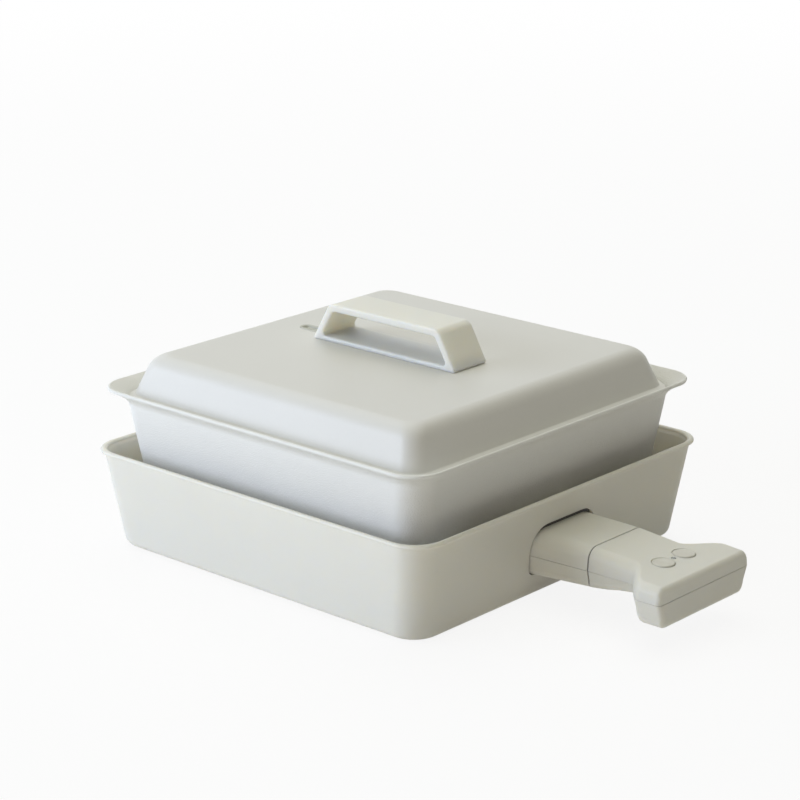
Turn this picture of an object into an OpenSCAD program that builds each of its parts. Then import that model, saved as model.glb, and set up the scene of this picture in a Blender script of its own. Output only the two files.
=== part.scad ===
// Square electric hot pot: base with heating plate, lift-out inner pot, lift-off lid and plug-on handle.
// Origin at the centre of the pot on the table, +Z up, handle along +X. Millimetres.

/* [Base] */
// Width of the base over its rim
base_w = 260; // [250:1:280]
// Height of the base rim above the table
base_h = 61.5; // [56:0.5:72]
// Draw-in of each base wall from rim to floor
base_taper = 8.3; // [5:0.1:10]
// Flare of the base rim beyond the straight wall
base_flare = 1.4; // [0.6:0.1:2.4]
// Height of the flared part of the base rim
base_flare_h = 7; // [5:0.5:10]
// Radius of the base corners in plan
base_corner_r = 18; // [16:1:26]
// Radius of the bottom edge of the base
base_edge_r = 5.5; // [4.5:0.5:8]
// Thickness of the base wall
base_wall = 2.2; // [1.6:0.1:2.8]
// Thickness of the base floor
floor_t = 3.2; // [3:0.1:4]

/* [Foot and bottom cover] */
// Height of the rubber foot below the base floor
foot_h = 1; // [0.8:0.1:2]
// Distance of the ring foot's middle from the line of the rim
foot_inset = 35; // [33:0.5:37]
// Width of the rubber ring foot
foot_ring_w = 7; // [5:0.5:8]
// Depth of the groove that holds the foot
foot_groove = 1; // [0.6:0.1:1.4]
// Distance of the service opening's edge from the ring foot's middle
opening_inset = 19; // [18:0.5:25]
// Thickness of the bottom cover
cover_t = 1.2; // [0.8:0.1:1.4]
// Number of screws in the bottom cover
cover_screws_n = 6; // [4:1:8]
// Number of vent slots in the bottom cover
cover_vents_n = 12; // [6:1:16]

/* [Heating] */
// Height of the heating plate's top above the table
plate_top = 29.5; // [28:0.5:32]
// Distance of the heating plate's edge from the line of the rim
plate_inset = 46; // [42:0.5:50]
// Thickness of the heating plate
plate_t = 8; // [6:0.5:9]
// Corner radius of the heating plate
plate_corner_r = 24; // [20:1:28]
// Distance of each plate screw from the plate's edges
plate_screw_inset = 12; // [11:0.5:14]
// Distance of the heating element's ring from the plate's edge
element_inset = 26; // [20:1:32]
// Radius of the element's tube
element_r = 3.3; // [2.8:0.1:3.6]
// Thickness of the heat shield
shield_t = 0.8; // [0.5:0.1:1.2]
// Clear height from the floor to the heat shield
shield_lift = 8.3; // [7:0.1:8.6]

/* [Temperature sensor] */
// Radius of the sensor cap
sensor_r = 11; // [9.5:0.5:13]
// Radius of the sensor stem
sensor_stem_r = 6; // [5:0.25:6.5]
// Travel of the sensor when it is pressed
sensor_travel = 2.5; // [1.5:0.1:2.8]

/* [Inner pot] */
// Distance of the inner pot's lip from the line of the rim
pot_inset = 3.6; // [2.5:0.1:6]
// Height of the inner pot
pot_h = 69.5; // [62:0.5:80]
// Thickness of the inner pot's wall
pot_wall = 2; // [1.4:0.1:2.6]
// Overhang of the lip beyond the wall
lip_out = 9.6; // [7:0.1:11]
// Height of the flared lip
lip_h = 11; // [8:0.5:13]
// Draw-in of each pot wall from lip to bottom
pot_taper = 8; // [5:0.5:12]
// Radius of the inner pot's corners in plan
pot_corner_r = 16; // [14:1:24]
// Radius of the inner pot's bottom edge
pot_edge_r = 10; // [7:0.5:12]

/* [Lid] */
// Height of the lid's top above the pot's lip
lid_rise = 18.5; // [15:0.5:24]
// Lean of the lid's sides from upright, in degrees
lid_lean = 20; // [14:0.5:26]
// Thickness of the lid
lid_wall = 2; // [1.4:0.1:2.6]
// Radius of the shoulder between the lid's top and sides
lid_shoulder_r = 11; // [7:0.5:16]
// Width of the seating rim round the foot of the lid's sides
lid_rim = 3.6; // [2:0.1:5]
// Clearance of the lid in the lip of the pot
lid_clear = 0.35; // [0.25:0.05:0.6]
// Corner radius of the lid's flat top
lid_top_corner_r = 8; // [6:0.5:14]
// Length of the steam vent
vent_l = 14; // [10:0.5:18]
// Width of the steam vent
vent_w = 5; // [4:0.25:7]
// Distance of the steam vent's middle from the bridge handle
vent_out = 14; // [11:0.5:16]

/* [Lid handle] */
// Length of the bridge handle along its base
bridge_base_l = 112; // [96:1:118]
// Length of the bridge handle along its top
bridge_top_l = 85; // [70:1:92]
// Height of the bridge handle
bridge_h = 23.5; // [20:0.5:32]
// Width of the strip of the bridge handle
bridge_w = 29; // [20:0.5:36]
// Thickness of the strip of the bridge handle
bridge_t = 4.5; // [3.5:0.1:5.5]
// Outer corner radius of the bridge handle
bridge_r = 6; // [5.8:0.1:8]

/* [Stub and control handle] */
// Distance from the line of the rim to the joint line
joint_out = 32; // [28:0.5:46]
// Width of the stub at the base wall
stub_wall_w = 57; // [54:0.5:60]
// Width of stub and handle at the joint line
joint_w = 52; // [50:0.5:54]
// Height of the handle's top above the table at the joint line
joint_top = 41.5; // [40.5:0.25:42.5]
// Height of the handle's underside above the table at the joint line
joint_bottom = 17.5; // [16.5:0.25:18]
// Height of the level seam above the table
seam_z = 28.5; // [28:0.1:29]
// Gap at the joint line
joint_gap = 0.8; // [0.4:0.1:1.2]
// Gap along the level seam
seam_gap = 0.3; // [0.1:0.05:0.5]
// Clearance of the stub in the wall's cut-out
stub_clear = 1.5; // [1:0.1:2.5]
// Length of the control handle
handle_l = 60; // [56:0.5:74]
// Width of the handle's neck
neck_w = 50; // [49:0.5:51]
// Length of the handle's neck
neck_l = 27; // [25:0.5:29]
// Height of the neck's underside above the table
neck_bottom = 21; // [20:0.25:21.5]
// Width of the handle's grip
grip_w = 84; // [78:1:96]
// Thickness of the handle's grip along the handle
grip_t = 14; // [13:0.5:16]
// Height of the grip's top above the table
grip_top = 37.5; // [37:0.25:38.5]
// Height of the grip's underside above the table
grip_bottom = 13.5; // [12.5:0.25:15.5]
// Thickness of the handle's shells
shell_wall = 2.3; // [1.8:0.1:2.6]

/* [Contacts and controls] */
// Radius of a contact pin
pin_r = 2; // [1.5:0.1:2.4]
// Distance between contact pins
pin_pitch = 9; // [8:0.25:10]
// Reach of the pins past the joint line
pin_reach = 12; // [9:0.5:14]
// Radius of a push button
button_r = 6.5; // [5:0.25:7]
// Distance of each push button from the handle's centre line
button_y = 9.5; // [9.2:0.1:10]
// Travel of a push button
button_travel = 1; // [0.6:0.1:1.2]

/* [Hidden] */
$fn = 64;

// Shared fits: running gap between bodies, gap between fixed pieces, gap round a screw
run_gap = 0.3;
fit_gap = 0.15;
screw_gap = 0.06;
corner_steps = 8;
arc_steps = 5;
lip_steps = 6;

cream = "#dedcd4";
cream_dark = "#cfccc2";

// Points of a rounded square of half-width w and corner radius r at height z
function square_ring(w, r, z) = [
    for (k = [0:3], i = [0:corner_steps])
        let (a = 90 * k + 90 * i / corner_steps, s = [[1, 1], [-1, 1], [-1, -1], [1, -1]][k])
        [s[0] * (w - r) + r * cos(a), s[1] * (w - r) + r * sin(a), z]
];

// Faces of a skin over count rings of m points each, closed at both ends
function skin_faces(m, count) = concat(
    [[for (j = [0:m - 1]) j]],
    [for (i = [0:count - 2], j = [0:m - 1])
        each let (a = i * m + j, b = i * m + (j + 1) % m) [[a, a + m, b + m], [a, b + m, b]]],
    [[for (j = [m - 1:-1:0]) (count - 1) * m + j]]
);

module skin(rings) {
    polyhedron([for (ring = rings) each ring], skin_faces(len(rings[0]), len(rings)), convexity = 6);
}

// Skin over a profile of [half-width, height, corner radius]
module square_skin(profile) {
    skin([for (p = profile) square_ring(p[0], p[2], p[1])]);
}

function bezier(a, b, c, t) = a * (1 - t) * (1 - t) + b * 2 * t * (1 - t) + c * t * t;

module rounded_square(w, d, r) {
    square([w, d - 2 * r], center = true);
    square([w - 2 * r, d], center = true);
    for (x = [-1, 1], y = [-1, 1])
        translate([x * (w / 2 - r), y * (d / 2 - r)]) circle(r);
}

// A rounded bar along X with its section in Y and Z
module bar_x(x0, x1, half_y, z0, z1, r) {
    translate([x0, 0, (z0 + z1) / 2]) rotate([90, 0, 90])
        linear_extrude(x1 - x0) rounded_square(2 * half_y, z1 - z0, r);
}

module at_corners(xy) {
    for (x = [-xy, xy], y = [-xy, xy]) translate([x, y, 0]) children();
}

module on_circle(n, r) {
    for (i = [0:n - 1]) rotate(360 * i / n) translate([r, 0, 0]) children();
}

// Base heights and wall
rim_hw = base_w / 2;
foot_ring_r = rim_hw - foot_inset;
opening_r = foot_ring_r - opening_inset;
floor_z = foot_h;
floor_top = floor_z + floor_t;
base_slope = base_taper / (base_h - foot_h);
base_tilt = atan(base_slope);
function base_hw(z) = rim_hw - base_flare - (base_h - z) * base_slope;

// Half-width at which an edge of radius r blends floor height z into a wall given by its half-width there
function edge_center(r, wall_hw, tilt) = wall_hw - r * cos(tilt);

base_inner_edge_r = base_edge_r - base_wall;
base_edge_c = edge_center(base_edge_r, base_hw(floor_z + base_edge_r * (1 - sin(base_tilt))), base_tilt);
base_inner_c = edge_center(base_inner_edge_r,
    base_hw(floor_top + base_inner_edge_r * (1 - sin(base_tilt))) - base_wall, base_tilt);
base_nose_r = base_wall / 2;

base_profile = concat(
    [for (i = [0:arc_steps]) let (a = -90 + (90 - base_tilt) * i / arc_steps)
        [base_edge_c + base_edge_r * cos(a), floor_z + base_edge_r * (1 + sin(a)),
            base_corner_r - base_edge_r * (1 - cos(a))]],
    [[base_hw(base_h - base_flare_h), base_h - base_flare_h, base_corner_r]],
    [for (i = [0:arc_steps + 1]) let (a = -20 + 220 * i / (arc_steps + 1))
        [rim_hw - base_nose_r * (1 - cos(a)), base_h - base_nose_r * (1 - sin(a)),
            base_corner_r - base_nose_r * (1 - cos(a))]],
    [[base_hw(base_h - base_flare_h) - base_wall, base_h - base_flare_h, base_corner_r - base_wall]],
    [for (i = [arc_steps:-1:0]) let (a = -90 + (90 - base_tilt) * i / arc_steps)
        [base_inner_c + base_inner_edge_r * cos(a), floor_top + base_inner_edge_r * (1 + sin(a)),
            base_corner_r - base_wall - base_inner_edge_r * (1 - cos(a))]]
);

// Heating stack
plate_w = base_w - 2 * plate_inset;
plate_screw_xy = plate_w / 2 - plate_screw_inset;
element_ring_r = plate_w / 2 - element_inset;
plate_z = plate_top - plate_t;
shield_z = floor_top + shield_lift;
standoff_r = 4;
standoff_base_r = 5.5;
plate_screw_r = 1.95;
plate_head_r = 4;
plate_head_h = 2;
plate_head_sink = 0.6;
element_z = plate_z - 0.8;
element_open_angle = 44;
terminal_angle = element_open_angle / 2 + 3;
terminal_r = 2.4;
terminal_l = 8;
terminal_z = element_z - terminal_l;
shield_w = plate_w - 10;

// Deck round the heating plate
deck_t = 1.2;
deck_z = plate_top - 2 - deck_t;
deck_hw = base_hw(deck_z) - base_wall - 2 * run_gap;
deck_post_r = 3.6;
deck_post_inset = 17;
deck_posts = [for (a = [0:90:270], s = [-1, 1])
    let (x = deck_hw - deck_post_inset, y = s * deck_hw / 2)
    [x * cos(a) - y * sin(a), x * sin(a) + y * cos(a)]];
deck_screw_r = 1.45;
deck_head_r = 2.6;
deck_screw_l = 9;

// Bottom cover
cover_r = opening_r + 10;
cover_z = floor_z + 0.6;
cover_screw_r = 1.45;
cover_head_r = 2.8;
cover_head_h = 1.1;
cover_screw_ring = opening_r + 4.5;
cover_boss_r = 4;
cover_boss_h = 4.5;

// Temperature sensor
sensor_cap_t = 2;
sensor_top = plate_top - run_gap;
sensor_disc_z = sensor_top - sensor_cap_t;
sensor_flange_t = 1.6;
sensor_flange_r = sensor_r + 7;
sensor_hub_r = sensor_stem_r + 2.6;
sensor_hub_bottom = shield_z - 3;
// The guide's collar stops the cap at the end of its travel
sensor_stop_r = sensor_stem_r + 1.2;
sensor_stop_z = sensor_disc_z - sensor_travel - 0.1;
sensor_clip_t = 1;
sensor_clip_r = sensor_stem_r + 2;
sensor_stem_bottom = sensor_hub_bottom - run_gap - sensor_clip_t - 0.6;
clip_groove = 0.8;
spring_wire_r = 0.55;
spring_r = sensor_stem_r + 0.5 + spring_wire_r + (sensor_r - sensor_stem_r) / 4;
spring_turns = 3;
spring_z0 = plate_z + spring_wire_r;
spring_z1 = sensor_disc_z - spring_wire_r - 0.02;
guide_screw_r = 1.3;
guide_head_r = 2.3;
guide_screw_ring = sensor_flange_r - 3;

// Thermostat and fuse, between the sensor's flange and the element
cutout_y = (element_ring_r + sensor_flange_r) / 2;
thermostat_r = 8;
thermostat_t = 5;
thermostat_strap_l = 24;
thermostat_strap_w = 6;
thermostat_strap_t = 1.2;
fuse_r = 2.4;
fuse_l = 18;
fuse_saddle_l = 8;

// Inner pot
pot_hw = rim_hw - pot_inset;
pot_top = plate_top + pot_h;
pot_wall_top = pot_top - lip_h;
pot_slope = pot_taper / (pot_h - lip_h);
pot_tilt = atan(pot_slope);
pot_nose_r = pot_wall / 2;
function pot_outer(z) = pot_hw - lip_out - (pot_wall_top - z) * pot_slope;
pot_inner_edge_r = pot_edge_r - pot_wall;
pot_floor_top = plate_top + pot_wall;
pot_edge_c = edge_center(pot_edge_r, pot_outer(plate_top + pot_edge_r * (1 - sin(pot_tilt))), pot_tilt);
pot_inner_c = edge_center(pot_inner_edge_r,
    pot_outer(pot_floor_top + pot_inner_edge_r * (1 - sin(pot_tilt))) - pot_wall, pot_tilt);
lip_bend = 0.45 * lip_h;
// The lip's corners widen as it flares
function lip_corner(w) = pot_corner_r + 0.3 * max(0, w - pot_outer(pot_wall_top));
function lip_outer(t) = bezier([pot_outer(pot_wall_top), pot_wall_top],
    [pot_outer(pot_wall_top + lip_bend), pot_wall_top + lip_bend],
    [pot_hw - 0.3, pot_top - 2 * pot_nose_r], t);
function lip_inner(t) = bezier([pot_hw - 2 * pot_nose_r, pot_top - 0.3],
    [pot_outer(pot_wall_top + lip_bend) - pot_wall, pot_wall_top + lip_bend],
    [pot_outer(pot_wall_top - 1) - pot_wall, pot_wall_top - 1], t);

pot_profile = concat(
    [for (i = [0:arc_steps]) let (a = -90 + (90 - pot_tilt) * i / arc_steps)
        [pot_edge_c + pot_edge_r * cos(a), plate_top + pot_edge_r * (1 + sin(a)),
            pot_corner_r - pot_edge_r * (1 - cos(a))]],
    [for (i = [0:lip_steps]) let (p = lip_outer(i / lip_steps)) [p[0], p[1], lip_corner(p[0])]],
    [for (i = [0:arc_steps]) let (a = -10 + 130 * i / arc_steps)
        [pot_hw - pot_nose_r * (1 - cos(a)), pot_top - pot_nose_r * (1 - sin(a)),
            lip_corner(pot_hw - pot_nose_r * (1 - cos(a)))]],
    [for (i = [1:lip_steps]) let (p = lip_inner(i / lip_steps)) [p[0], p[1], lip_corner(p[0]) - pot_wall]],
    [for (i = [arc_steps:-1:0]) let (a = -90 + (90 - pot_tilt) * i / arc_steps)
        [pot_inner_c + pot_inner_edge_r * cos(a), pot_floor_top + pot_inner_edge_r * (1 + sin(a)),
            pot_corner_r - pot_wall - pot_inner_edge_r * (1 - cos(a))]]
);

// Lid: its edge seats on the inner slope of the lip
lid_seat = lip_inner(0.6);
lid_hw = lid_seat[0] - lid_clear;
lid_edge_z = lid_seat[1] + lid_clear;
lid_top = pot_top + lid_rise;
lid_rim_t = 2;
lid_foot_hw = lid_hw - lid_rim;
lid_foot_z = lid_edge_z + lid_rim_t;
lid_corner_r = pot_corner_r - 2 * pot_wall;
// At its corners the rim stands out only a little
lid_rim_corner_r = lid_corner_r + (lid_rim * sqrt(2) - 1) / (sqrt(2) - 1);
lid_steps = 8;
lid_arc_z = lid_top - lid_shoulder_r;
lid_arc_w = lid_foot_hw - (lid_arc_z + lid_shoulder_r * sin(lid_lean) - lid_foot_z) * tan(lid_lean)
    - lid_shoulder_r * cos(lid_lean);
function lid_corner(w) =
    lid_corner_r + (lid_top_corner_r - lid_corner_r) * (lid_foot_hw - w) / (lid_foot_hw - lid_arc_w);
// Points of the shoulder, drawn in by inset, from the side up to the flat top
function shoulder(i, inset) = let (a = lid_lean + (90 - lid_lean) * i / lid_steps, r = lid_shoulder_r - inset)
    [lid_arc_w + r * cos(a), lid_arc_z + r * sin(a)];
lid_lip = 0.5;
lid_profile = concat(
    [for (i = [lid_steps:-1:0]) let (p = shoulder(i, lid_wall)) [p[0], p[1], lid_corner(p[0])]],
    [[lid_foot_hw - lid_wall, lid_edge_z + lid_lip, lid_corner_r - lid_wall]],
    [[lid_foot_hw - lid_wall + lid_lip, lid_edge_z, lid_corner_r - lid_wall]],
    [[lid_hw - lid_lip, lid_edge_z, lid_rim_corner_r]],
    [[lid_hw, lid_edge_z + lid_lip, lid_rim_corner_r]],
    [[lid_hw, lid_foot_z - lid_lip, lid_rim_corner_r]],
    [[lid_hw - lid_lip, lid_foot_z, lid_rim_corner_r]],
    [[lid_foot_hw, lid_foot_z, lid_corner_r]],
    [for (i = [0:lid_steps]) let (p = shoulder(i, 0)) [p[0], p[1], lid_corner(p[0])]]
);

// Bridge handle on the lid: a trapezoid loop of strip, and the screws under its base bar
bridge_base_t = 3;
bridge_base_hl = bridge_base_l / 2;
bridge_top_hl = bridge_top_l / 2;
bridge_lean = (bridge_base_hl - bridge_top_hl) / bridge_h;
bridge_side_t = bridge_t * sqrt(1 + bridge_lean * bridge_lean);
function bridge_hl(z) = bridge_base_hl - z * bridge_lean;
bridge_outer = [[-bridge_base_hl, 0], [bridge_base_hl, 0], [bridge_top_hl, bridge_h],
    [-bridge_top_hl, bridge_h]];
bridge_inner = [for (p = [[-1, bridge_base_t], [1, bridge_base_t], [1, bridge_h - bridge_t],
    [-1, bridge_h - bridge_t]]) [p[0] * (bridge_hl(p[1]) - bridge_side_t), p[1]]];
bridge_screw_x = bridge_base_hl - bridge_side_t - 12;
bridge_screw_r = 1.6;
vent_x = bridge_base_hl + vent_out;
bridge_head_r = 4;
bridge_head_h = 1.8;
bridge_screw_in = 2.2;

// Corner of a polygon rounded to radius r, as points of its arc
function rounded_corner(p, u, v, r) =
    let (d1 = (u - p) / norm(u - p), d2 = (v - p) / norm(v - p), half = acos(d1 * d2) / 2,
        c = p + (d1 + d2) / norm(d1 + d2) * r / sin(half),
        a1 = atan2((p + d1 * r / tan(half) - c)[1], (p + d1 * r / tan(half) - c)[0]),
        a2 = atan2((p + d2 * r / tan(half) - c)[1], (p + d2 * r / tan(half) - c)[0]),
        turn = a2 - a1 > 180 ? a2 - a1 - 360 : a2 - a1 < -180 ? a2 - a1 + 360 : a2 - a1)
    [for (i = [0:arc_steps]) c + r * [cos(a1 + turn * i / arc_steps), sin(a1 + turn * i / arc_steps)]];

function rounded_polygon(points, radii) = [for (i = [0:len(points) - 1])
    each rounded_corner(points[i], points[(i + len(points) - 1) % len(points)],
        points[(i + 1) % len(points)], radii[i])];

// Stub and handle sections: half-width at the seam, top, underside
joint_x = rim_hw + joint_out;
handle_x0 = joint_x + joint_gap;
handle_x1 = handle_x0 + handle_l;
stub_x0 = base_hw(seam_z) - base_wall - 8;
stub_wall_x = base_hw(seam_z);
top_corner_r = 7;
under_corner_r = 5;
top_draft = 1;
under_draft = 3.5;
grip_edge_r = 3;
flare_steps = 7;
joint_rise = 0.9;
seam_up = seam_z + seam_gap / 2;
seam_down = seam_z - seam_gap / 2;

function smooth(t) = t * t * (3 - 2 * t);
function handle_top(x) = joint_top + (grip_top - joint_top) * (x - handle_x0) / handle_l;
function stub_blend(x) = (joint_x - x) / (joint_x - stub_wall_x);

stub_sections = [for (x = [stub_x0, joint_x])
    [x, joint_w / 2 + (stub_wall_w - joint_w) / 2 * stub_blend(x), joint_top + joint_rise * stub_blend(x),
        joint_bottom - 2 * joint_rise * stub_blend(x)]];

flare_x0 = handle_x0 + neck_l;
flare_x1 = handle_x1 - grip_t;
handle_sections = concat(
    [[handle_x0, joint_w / 2, joint_top, joint_bottom]],
    [for (i = [1:3]) let (t = i / 3, x = handle_x0 + neck_l * t)
        [x, joint_w / 2 + (neck_w - joint_w) / 2 * t, handle_top(x),
            joint_bottom + (neck_bottom - joint_bottom) * smooth(t)]],
    [for (i = [1:flare_steps]) let (t = i / flare_steps, x = flare_x0 + (flare_x1 - flare_x0) * t)
        [x, neck_w / 2 + (grip_w - neck_w) / 2 * smooth(t), handle_top(x),
            neck_bottom + (grip_bottom - neck_bottom) * smooth(t)]],
    [for (i = [0:arc_steps]) let (a = 90 * i / arc_steps, x = handle_x1 - grip_edge_r * (1 - sin(a)),
            e = grip_edge_r * (1 - cos(a)))
        [x, grip_w / 2 - e, handle_top(x) - e, grip_bottom + e]]
);

// The upper corners tighten where the rounded end comes down towards the seam
function upper_corner(s) = min(top_corner_r, s[2] - seam_up - top_draft);
function upper_section(s) = concat(
    [[s[0], s[1], seam_up]],
    [for (side = [1, -1], i = [0:arc_steps])
        let (a = side > 0 ? 90 * i / arc_steps : 90 + 90 * i / arc_steps, r = upper_corner(s))
        [s[0], side * (s[1] - top_draft - r) + r * cos(a), s[2] - r + r * sin(a)]],
    [[s[0], -s[1], seam_up]]
);
function lower_section(s) = concat(
    [[s[0], -s[1], seam_down]],
    [for (side = [-1, 1], i = [0:arc_steps])
        let (a = side < 0 ? 180 + 90 * i / arc_steps : 270 + 90 * i / arc_steps)
        [s[0], side * (s[1] - under_draft - under_corner_r) + under_corner_r * cos(a),
            s[3] + under_corner_r + under_corner_r * sin(a)]],
    [[s[0], s[1], seam_down]]
);

// Hollows of stub and handle, as half-width, underside, top
hollow_r = 5;
hollow_ease = 1.7;
stub_hollow = [joint_w / 2 - shell_wall - 1, joint_bottom + shell_wall, joint_top - shell_wall];
neck_hollow = [neck_w / 2 - shell_wall - hollow_ease, neck_bottom + shell_wall, grip_top - shell_wall];
grip_hollow = [grip_w / 2 - shell_wall - hollow_ease, grip_bottom + shell_wall, grip_top - shell_wall];
hollow_x1 = handle_x1 - shell_wall - 0.5;
function hollow_floor(x) = x > flare_x1 ? grip_hollow[1] : neck_hollow[1];
grip_hollow_x0 = flare_x1;

// Steel tang from the floor through the cut-out into the stub
tang_t = 3;
tang_top = seam_z - 1.5;
tang_x0 = stub_x0 - 9.5;
tang_hw = 13;
tang_foot_hw = 26;
carrier_l = 21;
tang_x1 = joint_x - carrier_l - 3;
tang_foot_l = 10.4;
rivet_x = tang_x0 + 7;
rivet_y = 20;
rivet_r = 1.9;
rivet_head_r = 3.2;
rivet_head_h = 1.2;
stub_screw_x = (stub_wall_x + tang_x1) / 2;
stub_screw_y = 8;
stub_boss_r = 3.6;
stub_screw_r = 1.45;
stub_head_r = 2.6;
stub_head_h = 1.8;
stub_bore_z = joint_bottom + 4;
stub_screw_top = tang_top + 7;

// Contacts
pin_z = (neck_hollow[1] + neck_hollow[2]) / 2;
pin_ys = [-pin_pitch, 0, pin_pitch];
pin_back = 3;
sleeve_r = pin_r + 1.1;
socket_l = pin_reach + 6;
socket_face = 2.4;
lead_r = 1.2;
lead_sides = 8;

// Controls in the handle
board_t = 1.6;
board_z = seam_z + 0.3;
board_x0 = handle_x0 + socket_l + 10;
board_x1 = hollow_x1 - 8;
board_hw = neck_hollow[0] - 1;
board_post_r = 2;
board_post_y = board_hw - 4;
board_post_xs = [board_x0 + 3, board_x1 - 3];
button_x = (board_x0 + board_x1) / 2;
button_flange_t = 1.2;
button_flange_r = button_r + 0.9;
button_flange_z = neck_hollow[2] - run_gap - button_flange_t;
button_proud = 0.5;
switch_w = 6;
lens_r = 1.5;
handle_posts = [[handle_x0 + socket_l + 4.5, neck_hollow[0] - 3.6],
    [handle_x0 + socket_l + 4.5, 3.6 - neck_hollow[0]], [hollow_x1 - 3.4, 3.6 - grip_hollow[0]],
    [hollow_x1 - 3.4, 4]];
post_r = 3;
handle_screw_r = 1.2;
handle_head_r = 2.2;
handle_head_h = 1.6;
handle_bore_z = neck_bottom + 3.6;
handle_screw_top = grip_top - shell_wall - 2.5;

// Power inlet in the +Y end of the grip
inlet_x0 = flare_x1 + 0.6;
inlet_x1 = hollow_x1 - 0.4;
inlet_y0 = grip_hollow[0] - 17;
inlet_y1 = grip_w / 2 - 0.6;
inlet_hz = 5;
inlet_z = seam_z - 1;
inlet_wall = 1.5;
inlet_back = 3;
inlet_pin_r = 1.15;
inlet_pin_dz = 2;

module outer_shell() {
    color(cream) difference() {
        union() {
            square_skin(base_profile);
            on_circle(cover_screws_n, cover_screw_ring)
                translate([0, 0, cover_z + cover_t + 0.4])
                cylinder(r = cover_boss_r, h = floor_top + cover_boss_h - cover_z - cover_t - 0.4);
            for (p = deck_posts) translate([p[0], p[1], floor_top - 1])
                cylinder(r = deck_post_r, h = deck_z - floor_top + 1);
        }
        translate([0, 0, floor_z - 1]) difference() {
            cylinder(r = opening_r, h = floor_t + 2);
            on_circle(cover_screws_n, cover_screw_ring) cylinder(r = cover_boss_r, h = floor_t + 2);
        }
        translate([0, 0, floor_z - 1]) cylinder(r = cover_r + fit_gap, h = cover_z + cover_t - floor_z + 1);
        on_circle(cover_screws_n, cover_screw_ring) translate([0, 0, floor_z - 1])
            cylinder(r = cover_screw_r + screw_gap, h = floor_t + cover_boss_h);
        translate([0, 0, floor_z - 1]) difference() {
            cylinder(r = foot_ring_r + foot_ring_w / 2 + screw_gap, h = foot_groove + 1);
            translate([0, 0, -1])
                cylinder(r = foot_ring_r - foot_ring_w / 2 - screw_gap, h = foot_groove + 3);
        }
        for (p = deck_posts) translate([p[0], p[1], deck_z - deck_screw_l])
            cylinder(r = deck_screw_r + screw_gap, h = deck_screw_l + 1);
        at_corners(plate_screw_xy) translate([0, 0, floor_z + 0.7])
            cylinder(r = plate_screw_r + screw_gap, h = floor_t + 1);
        for (y = [-rivet_y, rivet_y]) translate([rivet_x, y, floor_z - 1]) {
            cylinder(r = rivet_r + screw_gap, h = floor_t + 2);
            cylinder(r = rivet_head_r + screw_gap, h = rivet_head_h + 1.3);
        }
        bar_x(stub_x0, rim_hw + 10, stub_wall_w / 2 + stub_clear, joint_bottom - 2 * joint_rise - stub_clear,
            joint_top + joint_rise + stub_clear, 10);
    }
}

module foot_ring() {
    color("#55544f") rotate_extrude() translate([foot_ring_r - foot_ring_w / 2, 0])
        square([foot_ring_w, foot_h + foot_groove]);
}

module bottom_cover() {
    color("#b9b9b4") translate([0, 0, cover_z]) linear_extrude(cover_t) difference() {
        circle(cover_r);
        on_circle(cover_screws_n, cover_screw_ring) circle(cover_screw_r + 0.3);
        rotate(15) on_circle(cover_vents_n, opening_r * 0.6) rounded_square(18, 4, 1.9);
    }
}

// Pan-head screw with its head below z = 0 and its shank above
module screw(shank_r, shank_l, head_r, head_h) {
    cylinder(r = shank_r, h = shank_l);
    translate([0, 0, -head_h]) cylinder(r = head_r, h = head_h);
}

// Countersunk screw with its head's top at z = 0 and its shank below
module sunk_screw(shank_r, length, head_r, head_h) {
    translate([0, 0, -head_h]) cylinder(r1 = shank_r, r2 = head_r, h = head_h);
    translate([0, 0, -length]) cylinder(r = shank_r, h = length - head_h);
}

module cover_screws() {
    color("silver") on_circle(cover_screws_n, cover_screw_ring) translate([0, 0, cover_z])
        screw(cover_screw_r, floor_t + cover_boss_h - 2.6, cover_head_r, cover_head_h);
}

module deck_plate() {
    color(cream_dark) translate([0, 0, deck_z]) difference() {
        linear_extrude(deck_t) difference() {
            rounded_square(2 * deck_hw, 2 * deck_hw, base_corner_r - base_wall);
            rounded_square(plate_w + 2, plate_w + 2, plate_corner_r + 1);
            translate([tang_x0 - 2, -stub_wall_w / 2 - 3]) square([base_w / 2, stub_wall_w + 6]);
        }
        for (p = deck_posts) translate([p[0], p[1], -0.01])
            cylinder(r1 = deck_screw_r + screw_gap, r2 = deck_head_r + screw_gap, h = deck_t + 0.02);
    }
}

module deck_screws() {
    color("silver") for (p = deck_posts) translate([p[0], p[1], deck_z + deck_t])
        sunk_screw(deck_screw_r, deck_screw_l, deck_head_r, deck_t);
}

module plate_standoffs() {
    color("silver") at_corners(plate_screw_xy) difference() {
        union() {
            translate([0, 0, floor_top]) cylinder(r = standoff_base_r, h = shield_z - floor_top);
            translate([0, 0, floor_top]) cylinder(r = standoff_r, h = plate_z - floor_top);
        }
        translate([0, 0, floor_top - 1]) cylinder(r = plate_screw_r + screw_gap, h = plate_z);
    }
}

// Ring of the element: open towards the handle
module element_ring(r) {
    translate([0, 0, element_z]) rotate(element_open_angle / 2)
        rotate_extrude(angle = 360 - element_open_angle) translate([element_ring_r, 0]) circle(r);
}

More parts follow.
